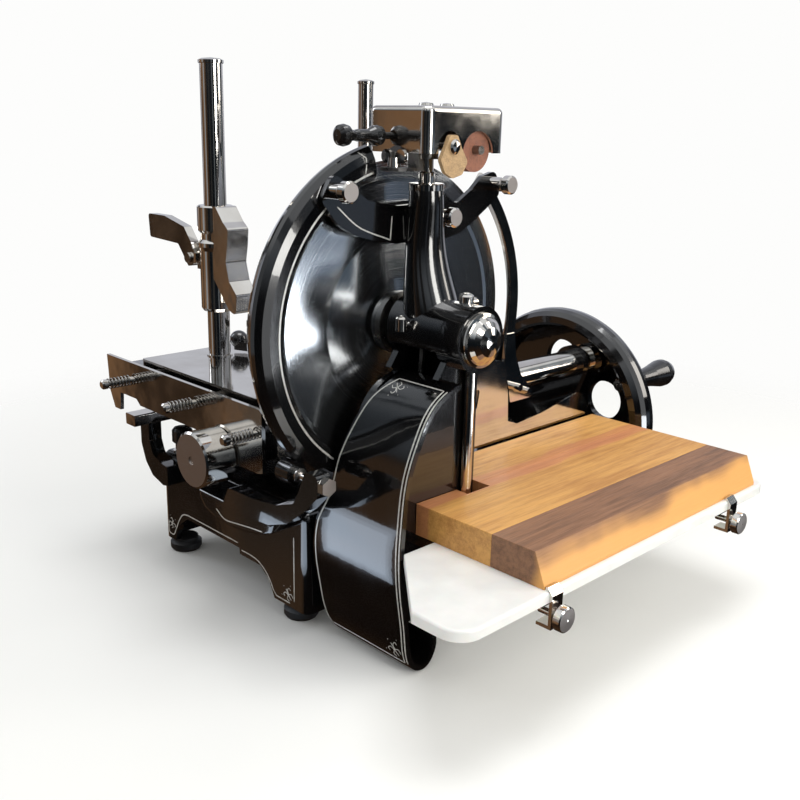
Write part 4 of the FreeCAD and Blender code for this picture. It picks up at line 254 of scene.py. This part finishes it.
def oiled_plank(name, dark, light, seed, ring, stain, stain_x, stain_width, stain_strength):
    """Oiled hardwood, planed along the grain: fine growth bands, open pores, a stain beside one glue line."""
    finish, tree, shader, place = blank_finish(name, IOR=1.47, Coat_Weight=0.12, Coat_Roughness=0.34)
    along = add(tree, "ShaderNodeMapping", {"Vector": place, "Location": (seed * 0.37, seed * 0.11, seed * 0.05),
                                            "Scale": (1.0, 0.045, 1.0)})
    drift = add(tree, "ShaderNodeTexNoise", {"Vector": along.outputs[0], "Scale": per_metre(34.0), "Detail": 3.0})
    bent = add(tree, "ShaderNodeVectorMath", {0: drift.outputs["Color"], 1: (0.006, 0.0, 0.006),
                                              2: along.outputs[0]}, operation="MULTIPLY_ADD")
    bands = add(tree, "ShaderNodeTexNoise", {"Vector": bent.outputs[0], "Scale": per_metre(ring), "Detail": 6.0,
                                             "Roughness": 0.68})
    cloud = add(tree, "ShaderNodeTexNoise", {"Vector": place, "Scale": per_metre(120.0), "Detail": 2.0})
    # Pores are 0.2 mm wide. They are drawn at 1.1 mm, so that the picture can hold them.
    fibre = add(tree, "ShaderNodeTexNoise", {"Vector": along.outputs[0], "Scale": per_metre(1.1), "Detail": 3.0,
                                             "Roughness": 0.7})
    grain = add(tree, "ShaderNodeMath", {0: fibre.outputs["Fac"], 1: 0.34, 2: bands.outputs["Fac"]},
                operation="MULTIPLY_ADD")
    shaded = add(tree, "ShaderNodeMath", {0: cloud.outputs["Fac"], 1: 0.4, 2: grain.outputs[0]},
                 operation="MULTIPLY_ADD")
    tone = add(tree, "ShaderNodeValToRGB", {"Fac": shaded.outputs[0]}, stops=[(0.56, dark), (1.0, light)])
    axes = add(tree, "ShaderNodeSeparateXYZ", {0: place})
    slow = add(tree, "ShaderNodeTexNoise", {"W": axes.outputs["Y"], "Scale": per_metre(90.0), "Detail": 2.0},
               noise_dimensions="1D")
    loose = add(tree, "ShaderNodeMath", {0: slow.outputs["Fac"], 1: drift.outputs["Fac"]}, operation="ADD")
    wander = add(tree, "ShaderNodeMath", {0: loose.outputs[0], 1: 0.02, 2: axes.outputs["X"]},
                 operation="MULTIPLY_ADD")
    near = add(tree, "ShaderNodeMath", {0: wander.outputs[0], 1: spot(stain_x + 20.0, 0.0, 0.0).x},
               operation="SUBTRACT")
    apart = add(tree, "ShaderNodeMath", {0: near.outputs[0]}, operation="ABSOLUTE")
    stained = add(tree, "ShaderNodeMapRange", {"Value": apart.outputs[0], "From Min": stain_width * 0.00055,
                                               "From Max": stain_width / 1000.0, "To Min": stain_strength,
                                               "To Max": 0.0}, interpolation_type="SMOOTHSTEP")
    veined = add(tree, "ShaderNodeMix", {0: 0.18, 6: linear(stain), 7: tone.outputs["Color"]},
                 data_type="RGBA", blend_type="OVERLAY")
    coloured = add(tree, "ShaderNodeMix", {0: stained.outputs["Result"], 6: tone.outputs["Color"],
                                           7: veined.outputs[2]}, data_type="RGBA")
    gloss = add(tree, "ShaderNodeMapRange", {"Value": fibre.outputs["Fac"], "From Min": 0.3, "From Max": 0.7,
                                             "To Min": 0.62, "To Max": 0.42})
    pores = add(tree, "ShaderNodeBump", {"Height": fibre.outputs["Fac"], "Strength": 0.2, "Distance": 0.0002})
    join(tree, shader, Base_Color=coloured.outputs[2], Roughness=gloss.outputs["Result"],
         Normal=pores.outputs["Normal"])
    return finish


def faced_plate(name, axis):
    """Nickel plate, turned and faced in a lathe: bright round the rim, satin on the flat end."""
    finish, tree, shader, place = blank_finish(name, Metallic=1.0)
    normal = add(tree, "ShaderNodeTexCoord").outputs["Normal"]
    facing = add(tree, "ShaderNodeVectorMath", {0: normal, 1: axis}, operation="DOT_PRODUCT")
    end = add(tree, "ShaderNodeMath", {0: facing.outputs["Value"]}, operation="ABSOLUTE")
    flat = add(tree, "ShaderNodeMapRange", {"Value": end.outputs[0], "From Min": 0.95, "From Max": 0.985})
    cloud = add(tree, "ShaderNodeTexNoise", {"Vector": place, "Scale": per_metre(6.0), "Detail": 5.0})
    worn = add(tree, "ShaderNodeMath", {0: cloud.outputs["Fac"], 1: 0.12, 2: -0.06},
               operation="MULTIPLY_ADD")
    gloss = add(tree, "ShaderNodeMapRange", {"Value": flat.outputs["Result"], "To Min": 0.08, "To Max": 0.46})
    rough = add(tree, "ShaderNodeMath", {0: gloss.outputs["Result"], 1: worn.outputs[0]}, operation="ADD",
                use_clamp=True)
    tone = add(tree, "ShaderNodeValToRGB", {"Fac": flat.outputs["Result"]},
               stops=[(0.0, "#dedad4"), (1.0, "#b5aeaa")])
    join(tree, shader, Base_Color=tone.outputs["Color"], Roughness=rough.outputs[0])
    return finish


FINISHES = {
    "black_enamel": stoved_enamel(),
    "polished_steel": bright_plate(),
    "blade_steel": ground_blade_steel(),
    "bare_steel": turned_steel(),
    "bronze": cast_bronze(),
    "board_wood": oiled_plank("oiled_amber_hardwood", dark="#a3672c", light="#dba55c", seed=1.0, ring=5.0,
                              stain="#bd7a58", stain_x=90.0, stain_width=11.0, stain_strength=0.6),
    "white_tray": poly_tray(),
    "black_rubber": moulded_rubber(),
    "black_plastic": black_phenolic(),
    "tan_stone": bonded_stone("tan_honing_stone", "#8c6f48", "#c4a275", 0.9),
    "red_stone": bonded_stone("red_grinding_stone", "#6d3f2b", "#9c6247", 1.1),
}
# This silver paint draws the real lines and also a painted highlight, the stroke along the apron's right edge.
SILVER_LINE_AND_PAINTED_HIGHLIGHT = silver_line_paint()

END_FACED = {
    "thickness_knob": faced_plate("faced_knob_plate", (0.0, 1.0, 0.0)),
    "guard_nuts": faced_plate("faced_nut_plate", (1.0, 0.0, 0.0)),
}
for name in ("thumb_screw_front", "thumb_screw_rear", "guard_screw"):
    END_FACED[name] = END_FACED["guard_nuts"]

for name, shown in frame["nodes"].items():
    shown.material_slots[0].material = END_FACED.get(name, FINISHES[SLOT_OF[name]])


# Metres, but for the shares of a line's width and the flat angle in radians.
RAY_START = 0.12
SUNK, PROUD = 0.0002, 0.00016
CROWN_SHARE, END_SHARE = 0.8, 0.45
SAME_PLACE = 0.00001
FLAT_ANGLE = 0.01


def skin_of(node):
    """A CAD node's surface, for rays that lay a line on it."""
    shown = frame["nodes"][node]
    corners = [shown.matrix_world @ vertex.co for vertex in shown.data.vertices]
    return BVHTree.FromPolygons(corners, [tuple(face.vertices) for face in shown.data.polygons])


def flowing(route, step=1.6):
    """The route's points joined by one smooth curve, a point about every step millimetres."""
    places = [Vector(place) for place in route]
    ends = [places[0] * 2 - places[1]] + places + [places[-1] * 2 - places[-2]]
    course = []
    for before, start, end, after in zip(ends, ends[1:], ends[2:], ends[3:]):
        count = max(1, int((end - start).length / step))
        for index in range(count):
            t = index / count
            course.append(0.5 * (2 * start + (end - before) * t
                                 + (2 * before - 5 * start + 4 * end - after) * t ** 2
                                 + (3 * start - before - 3 * end + after) * t ** 3))
    return course + [places[-1]]


def straight_runs(route, step=3.0):
    """The route's points joined by straight strokes."""
    course = []
    for start, end in zip(route, route[1:]):
        start, end = Vector(start), Vector(end)
        count = max(1, int((end - start).length / step))
        course += [start.lerp(end, index / count) for index in range(count)]
    return course + [Vector(route[-1])]


def brushed_line(name, node, strokes, toward, width=1.5):
    """Paint strokes laid on a node's skin, as low raised ribbons with soft ends."""
    skin = skin_of(node)
    aim = Vector(toward).normalized()
    form = bmesh.new()
    for course in strokes:
        laid = []
        for place in course:
            hit, normal, _, _ = skin.ray_cast(spot(*place) - aim * RAY_START, aim)
            if hit is not None:
                laid.append((hit, normal if normal.dot(aim) < 0 else -normal))
        rows = []
        for index, (place, normal) in enumerate(laid):
            ahead = laid[min(index + 1, len(laid) - 1)][0] - laid[max(index - 1, 0)][0]
            side = normal.cross(ahead).normalized() * width / 2000.0
            if index in (0, len(laid) - 1):
                side *= END_SHARE
            deep, crown = place - normal * SUNK, place + normal * PROUD
            rows.append([form.verts.new(deep - side), form.verts.new(crown - side * CROWN_SHARE),
                         form.verts.new(crown + side * CROWN_SHARE), form.verts.new(deep + side)])
        for first, second in zip(rows, rows[1:]):
            for index in range(4):
                after = (index + 1) % 4
                form.faces.new((first[index], first[after], second[after], second[index]))
        if len(rows) > 1:
            form.faces.new(rows[0][::-1])
            form.faces.new(rows[-1])
    bmesh.ops.recalc_face_normals(form, faces=form.faces)
    sheet = bpy.data.meshes.new(name)
    form.to_mesh(sheet)
    form.free()
    sheet.materials.append(SILVER_LINE_AND_PAINTED_HIGHLIGHT)
    line = bpy.data.objects.new(name, sheet)
    bpy.context.scene.collection.objects.link(line)
    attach(line, BODY_OF[node])


def corner_scroll(corner, across, upward, size=1.0):
    """A lining brush's corner flourish: two crossed curls, a leaf stroke and three dots."""
    corner, across, upward = Vector(corner), Vector(across), Vector(upward)
    curls = [
        [(-5.0, 1.0), (-2.0, 4.0), (1.5, 3.0), (3.5, 6.5), (1.5, 9.5), (-1.0, 8.0)],
        [(1.0, -4.0), (4.0, -2.0), (3.0, 1.5), (6.5, 3.5), (9.5, 1.5), (8.0, -1.0)],
        [(-2.0, -2.0), (2.0, 2.0), (6.0, 7.5)],
        [(-1.0, 12.0), (-0.6, 12.9)],
        [(12.0, -1.0), (12.9, -0.6)],
        [(9.0, 9.0), (9.7, 9.7)],
    ]
    return [flowing([corner + (across * u + upward * v) * size for u, v in curl], 0.6) for curl in curls]


def base_lines():
    """Lines along the arch of the base's face and up its right corner, and two flourishes."""
    face = -92.0
    left = straight_runs([(-274.0, face, -268.0), (-274.0, face, -282.0)]) + flowing(
        [(-272.0, face, -284.0), (-264.0, face, -283.5), (-258.0, face, -274.0), (-251.0, face, -262.0),
         (-243.0, face, -253.0), (-233.0, face, -250.0)]) + straight_runs(
             [(-230.0, face, -250.0), (-134.0, face, -250.0)])
    right = flowing([(-128.0, face, -256.5), (-112.0, face, -256.5), (-98.0, face, -258.5), (-86.0, face, -265.0),
                     (-78.0, face, -273.0), (-73.0, face, -281.0), (-68.0, face, -285.5)]) + (
        straight_runs([(-66.0, face, -286.0), (-45.0, face, -286.0)]))
    upright = straight_runs([(-38.0, face, -282.0), (-38.0, face, -212.0)])
    scrolls = corner_scroll((-269.0, face, -273.0), (0.95, 0.0, 0.0), (0.0, 0.0, 0.95)) + corner_scroll(
        (-45.0, face, -280.0), (-1.05, 0.0, 0.0), (0.0, 0.0, 1.05))
    brushed_line("base_face_lines", "base_casting", [left, right, upright], (0.0, 1.0, 0.0))
    brushed_line("base_face_scrolls", "base_casting", scrolls, (0.0, 1.0, 0.0), 0.95)


# The apron's fall, as (depth, height, place of the left line).
APRON_FALL = (
    (-36.0, -42.0, 49.0), (-57.0, -56.0, 38.0), (-71.0, -79.0, 30.0), (-84.0, -112.0, 22.0),
    (-89.0, -148.0, 15.0), (-91.0, -184.0, -2.0), (-88.0, -223.0, -8.0), (-82.0, -262.0, -7.0),
    (-79.0, -284.0, -2.0), (-75.0, -293.0, 2.0),
)


def apron_lines_and_painted_highlight():
    """One line round the apron's edge; beside its right edge a second silver stroke, which is a painted highlight
    of that edge; and a flourish in two corners.
    """
    left = flowing([(x, y, z) for y, z, x in APRON_FALL])
    right = flowing([(105.0, y, z) for y, z, x in APRON_FALL])
    # The outermost stroke, at the very right edge, is a painted highlight: the edge's gleam drawn in silver line
    # paint.
    rim = flowing([(109.0, y, z) for y, z, x in APRON_FALL])
    foot = straight_runs([(2.0, -75.0, -293.0), (105.0, -75.0, -293.0)])
    crown = straight_runs([(49.0, -36.0, -42.0), (105.0, -36.0, -42.0)])
    brushed_line("apron_lines_and_painted_highlight", "curved_apron", [left, right, rim, crown], (0.0, 0.85, -0.5), 1.7)
    low = corner_scroll((97.0, -80.0, -285.0), (-1.15, 0.0, 0.0), (0.0, 0.0, 1.15))
    brushed_line("apron_foot_line", "curved_apron", [foot], (0.0, 1.0, 0.0), 1.6)
    brushed_line("apron_foot_scroll", "curved_apron", low, (0.0, 1.0, 0.0), 0.95)
    high = corner_scroll((54.0, -43.0, -46.0), (1.0, 0.0, 0.0), (0.0, -0.7, -0.7))
    brushed_line("apron_crown_scroll", "curved_apron", high, (0.0, 0.85, -0.5), 0.95)


def guard_lines():
    """The line round the ring guard's inner edge, closed at its top."""
    arc = []
    for degrees in range(106, 238, 2):
        turn = math.radians(degrees)
        arc.append((20.0, 144.5 * math.cos(turn), 144.5 * math.sin(turn)))
    end = straight_runs([(20.0, -48.0, 138.5), (20.0, -47.5, 152.0), (20.0, -54.0, 156.5)])
    brushed_line("guard_line", "ring_guard", [flowing(arc)], (-1.0, 0.0, 0.0), 2.2)
    brushed_line("guard_end_line", "ring_guard", [end], (-1.0, 0.0, 0.0), 1.5)


def arm_lines():
    """Lines along the lower edge of the guard's yoke and of the carriage's front bracket."""
    wing = flowing([(40.0, -86.0, 112.0), (40.0, -60.0, 93.0), (40.0, -23.0, 80.0)]) + straight_runs(
        [(40.0, -22.5, 82.0), (40.0, -21.0, 101.0)])
    brushed_line("yoke_line", "guard_yoke", [wing], (-1.0, 0.0, 0.0), 1.4)
    swoop = flowing([(-118.0, -128.0, -196.0), (-103.0, -128.0, -203.0), (-82.0, -128.0, -201.0),
                     (-60.0, -128.0, -198.0), (-40.0, -128.0, -196.0)])
    brushed_line("bracket_line", "front_bracket", [swoop], (0.0, 1.0, 0.0), 1.3)


def sawn_copy(name, source, node, cuts, finish, easing, sharp):
    """A copy of a CAD node, sawn off at each cut's place on the side it names, with its sharp edges eased."""
    form = bmesh.new()
    form.from_mesh(source.data)
    form.transform(source.matrix_world)
    bmesh.ops.remove_doubles(form, verts=form.verts, dist=SAME_PLACE)
    for place, way in cuts:
        everything = form.verts[:] + form.edges[:] + form.faces[:]
        cut = bmesh.ops.bisect_plane(form, geom=everything, plane_co=place, plane_no=way, clear_outer=True)
        rim = [item for item in cut["geom_cut"] if isinstance(item, bmesh.types.BMEdge)]
        if rim:
            bmesh.ops.contextual_create(form, geom=rim)
    bmesh.ops.dissolve_limit(form, angle_limit=FLAT_ANGLE, verts=form.verts, edges=form.edges)
    bmesh.ops.recalc_face_normals(form, faces=form.faces)
    sheet = bpy.data.meshes.new(name)
    form.to_mesh(sheet)
    form.free()
    sheet.materials.append(finish)
    made = bpy.data.objects.new(name, sheet)
    bpy.context.scene.collection.objects.link(made)
    eased = made.modifiers.new("eased_edges", "BEVEL")
    eased.width, eased.segments, eased.limit_method, eased.angle_limit = easing, 2, "ANGLE", sharp
    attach(made, BODY_OF[node])
    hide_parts(node)


def board_planks():
    """The board's three glued planks, each with its own growth and colour."""
    slab = frame["nodes"]["wooden_board"]
    honey = oiled_plank("oiled_honey_hardwood", dark="#a2682f", light="#dba45a", seed=4.0, ring=7.0,
                        stain="#c07a5e", stain_x=97.0, stain_width=14.0, stain_strength=0.6)
    heartwood = oiled_plank("oiled_brown_heartwood", dark="#513725", light="#94694a", seed=7.0, ring=6.0,
                            stain="#e6b262", stain_x=249.0, stain_width=27.0, stain_strength=0.97)
    planks = (
        ("amber_plank", 20.0, 93.0, FINISHES["board_wood"]),
        ("honey_plank", 93.0, 181.0, honey),
        ("heartwood_plank", 181.0, 250.0, heartwood),
    )
    for name, left, right, finish in planks:
        sides = ((spot(left, 0.0, 0.0), (-1.0, 0.0, 0.0)), (spot(right, 0.0, 0.0), (1.0, 0.0, 0.0)))
        sawn_copy(name, slab, "wooden_board", sides, finish, easing=0.0005, sharp=0.5)


def tray_sheet():
    """The tray's sheet with its near corner sawn slantwise, so that it clears the apron's sweep."""
    slant = ((spot(114.0, -90.0, 0.0), (-68.0, -78.0, 0.0)),)
    sawn_copy("tray_sheet", frame["nodes"]["receiving_tray"], "receiving_tray", slant, FINISHES["white_tray"],
              easing=0.001, sharp=0.7)


board_planks()
tray_sheet()
base_lines()
apron_lines_and_painted_highlight()
guard_lines()
arm_lines()


def camera():
    """The photograph's viewpoint: 45.6 degrees round, 16 down, with a slight roll."""
    turn, dip, roll = math.radians(45.57), math.radians(16.01), math.radians(1.25)
    ahead = Vector((-math.sin(turn) * math.cos(dip), math.cos(turn) * math.cos(dip), -math.sin(dip)))
    level = Vector((math.cos(turn), math.sin(turn), 0.0))
    above = level.cross(ahead)
    right = level * math.cos(roll) + above * math.sin(roll)
    up = above * math.cos(roll) - level * math.sin(roll)
    lens = bpy.data.cameras.new("photo_lens")
    lens.lens, lens.sensor_width = 43.12, 36.0
    lens.clip_start, lens.clip_end = 0.01, 60.0
    eye = bpy.data.objects.new("photo_camera", lens)
    turned = Matrix((right, up, -ahead)).transposed().to_4x4()
    eye.matrix_world = Matrix.Translation(spot(652.7, -626.8, 180.3)) @ turned
    bpy.context.scene.collection.objects.link(eye)
    bpy.context.scene.camera = eye


def softbox(name, place, aim, width, height, power, colour, mirrored_only=False):
    """A soft studio lamp. A mirrored one shows in gloss and lights nothing."""
    lamp = bpy.data.lights.new(name, "AREA")
    lamp.shape, lamp.size, lamp.size_y = "RECTANGLE", width, height
    lamp.energy, lamp.color = power, linear(colour)[:3]
    held = bpy.data.objects.new(name, lamp)
    held.location = Vector(place)
    held.rotation_euler = (Vector(aim) - Vector(place)).to_track_quat("-Z", "Y").to_euler()
    held.visible_camera = False
    held.visible_diffuse = not mirrored_only
    bpy.context.scene.collection.objects.link(held)


# What the gloss mirrors: a heading in degrees round from +X, its half width, the heights that it fills
# as sines, how soft its edges are, and its colour.
ROOM_SIDES = (
    (-146.0, 34.0, -0.45, 0.10, 0.16, "#7d5f45"),
    (-149.5, 2.2, -0.45, 0.00, 0.10, "#35291f"),
    (-141.5, 3.5, -0.40, 0.00, 0.10, "#54493f"),
    (-114.0, 6.0, -0.25, 0.80, 0.06, "#94989c"),
    (-88.0, 5.0, -0.35, 0.80, 0.06, "#33291f"),
    (-62.0, 5.0, -0.30, 0.70, 0.05, "#30302f"),
    (-28.0, 3.0, -0.20, 0.70, 0.05, "#6d7379"),
    (6.0, 6.0, -0.30, 0.62, 0.03, "#f2f5f8"),
    (27.0, 5.0, -0.10, 0.60, 0.06, "#56616c"),
    (38.0, 5.0, -0.17, -0.05, 0.06, "#8793a3"),
    (64.0, 4.0, -0.20, 0.55, 0.05, "#8f979e"),
    (88.0, 6.0, -0.30, 0.70, 0.05, "#23211f"),
    (142.0, 46.0, -0.04, 0.80, 0.10, "#c9ccd6"),
    (178.0, 5.0, -0.30, 0.70, 0.05, "#2a2725"),
)


# How much the room's slow unevenness moves the heights, and its middle.
BEND = 0.16
BEND_MIDDLE = BEND / 2.0


def studio():
    """Pale room: white to the eye and for soft light, with warm wood, dark corners and windows for the gloss."""
    room = bpy.data.worlds.new("pale_studio")
    bpy.context.scene.world = room
    room.use_nodes = True
    tree = room.node_tree
    soft = tree.nodes["Background"]
    way = add(tree, "ShaderNodeTexCoord").outputs["Generated"]
    axes = add(tree, "ShaderNodeSeparateXYZ", {0: way})
    level = add(tree, "ShaderNodeVectorMath", {0: way, 1: (1.0, 1.0, 0.0)}, operation="MULTIPLY")
    heading = add(tree, "ShaderNodeVectorMath", {0: level.outputs[0]}, operation="NORMALIZE")
    bend = add(tree, "ShaderNodeTexNoise", {"Vector": way, "Scale": 2.1, "Detail": 1.0})
    height = add(tree, "ShaderNodeMath", {0: bend.outputs["Fac"], 1: BEND, 2: axes.outputs["Z"]},
                 operation="MULTIPLY_ADD")
    walls = add(tree, "ShaderNodeMapRange", {"Value": height.outputs[0], "From Min": -1.0, "From Max": 1.0})
    seen = add(tree, "ShaderNodeValToRGB", {"Fac": walls.outputs["Result"]}, stops=[
        (0.0, "#4a3626"), (0.25, "#241a13"), (0.4, "#0b1117"), (0.5, "#101418"), (0.62, "#20252b"),
        (0.76, "#aab2ba"), (0.86, "#f2f5f8"),
    ]).outputs["Color"]
    for degrees, half, low, high, soft_edge, colour in ROOM_SIDES:
        aim = (math.cos(math.radians(degrees)), math.sin(math.radians(degrees)), 0.0)
        facing = add(tree, "ShaderNodeVectorMath", {0: heading.outputs[0], 1: aim}, operation="DOT_PRODUCT")
        inner, outer = math.cos(math.radians(half)), math.cos(math.radians(half * (1.0 + soft_edge * 4.0)))
        across = add(tree, "ShaderNodeMapRange", {"Value": facing.outputs["Value"], "From Min": outer,
                                                  "From Max": inner}, interpolation_type="SMOOTHSTEP")
        under = add(tree, "ShaderNodeMapRange", {"Value": height.outputs[0],
                                                 "From Min": low - soft_edge + BEND_MIDDLE,
                                                 "From Max": low + BEND_MIDDLE},
                    interpolation_type="SMOOTHSTEP")
        over = add(tree, "ShaderNodeMapRange", {"Value": height.outputs[0], "From Min": high + BEND_MIDDLE,
                                                "From Max": high + soft_edge + BEND_MIDDLE,
                                                "To Min": 1.0, "To Max": 0.0},
                   interpolation_type="SMOOTHSTEP")
        band = add(tree, "ShaderNodeMath", {0: under.outputs["Result"], 1: over.outputs["Result"]},
                   operation="MULTIPLY")
        cover = add(tree, "ShaderNodeMath", {0: band.outputs[0], 1: across.outputs["Result"]},
                    operation="MULTIPLY")
        seen = add(tree, "ShaderNodeMix", {0: cover.outputs[0], 6: seen, 7: linear(colour)},
                   data_type="RGBA").outputs[2]
    mirrored = add(tree, "ShaderNodeBackground", {"Color": seen, "Strength": 1.0})
    plain = add(tree, "ShaderNodeBackground", {"Color": linear("#fdfdfc"), "Strength": 1.0})
    ray = add(tree, "ShaderNodeLightPath")
    lighting = add(tree, "ShaderNodeMixShader", {0: ray.outputs["Is Glossy Ray"], 1: soft.outputs[0],
                                                 2: mirrored.outputs[0]})
    whole = add(tree, "ShaderNodeMixShader", {0: ray.outputs["Is Camera Ray"], 1: lighting.outputs[0],
                                              2: plain.outputs[0]})
    soft.inputs["Color"].default_value = linear("#f6f6f4")
    soft.inputs["Strength"].default_value = 0.6
    tree.links.new(whole.outputs[0], tree.nodes["World Output"].inputs["Surface"])
    # Three panes, each a little wider than the last, give the apron's window its soft edge.
    for index, grown in enumerate((0.0, 0.009, 0.018)):
        softbox("apron_window_%d" % index, (0.001, -0.305, 0.070), (0.001, -0.235, 0.090), 0.09 + grown,
                0.066 + grown, 0.062, "#cfdff2", True)
    softbox("blade_window", (0.80, 0.33, 0.06), (0.05, -0.29, 0.30), 0.2, 0.2, 1.3, "#f4f9ff", True)
    softbox("window_left", (-1.7, -0.9, 1.1), (0.0, 0.0, 0.25), 0.5, 0.9, 5.0, "#eef4ff")
    softbox("ceiling_bank", (0.2, -0.1, 2.1), (0.0, 0.0, 0.2), 1.2, 0.8, 17.0, "#ffffff")
    softbox("rear_strip", (1.3, 1.5, 1.1), (0.0, 0.1, 0.25), 0.5, 1.2, 9.0, "#fff8ee")
    softbox("side_bank", (1.7, -0.15, 0.85), (0.1, 0.0, 0.2), 0.5, 0.9, 13.5, "#fffdf8")


FLOOR_RADIUS, FLOOR_GAP = 2.6, 0.0003


def floor():
    """A pale round floor that fades into the room, and that the gloss doesn't mirror."""
    sheet = bpy.data.meshes.new("pale_floor")
    form = bmesh.new()
    bmesh.ops.create_circle(form, cap_ends=True, segments=96, radius=FLOOR_RADIUS)
    form.to_mesh(sheet)
    form.free()
    ground = bpy.data.objects.new("pale_floor", sheet)
    ground.location.z = -FLOOR_GAP
    ground.visible_glossy = False
    bpy.context.scene.collection.objects.link(ground)
    finish, tree, shader, place = blank_finish("pale_paper_floor", Roughness=0.9, Base_Color=linear("#f7f7f5"),
                                               Specular_IOR_Level=0.1)
    reach = add(tree, "ShaderNodeVectorMath", {0: place}, operation="LENGTH")
    fade = add(tree, "ShaderNodeMapRange", {"Value": reach.outputs["Value"], "From Min": 0.5, "From Max": 1.2},
               interpolation_type="SMOOTHSTEP")
    gone = add(tree, "ShaderNodeBsdfTransparent")
    mixed = add(tree, "ShaderNodeMixShader", {0: fade.outputs["Result"], 1: shader.outputs[0],
                                              2: gone.outputs[0]})
    tree.links.new(mixed.outputs[0], tree.nodes["Material Output"].inputs["Surface"])
    sheet.materials.append(finish)


bpy.context.scene.view_settings.view_transform = "Standard"
camera()
studio()
floor()
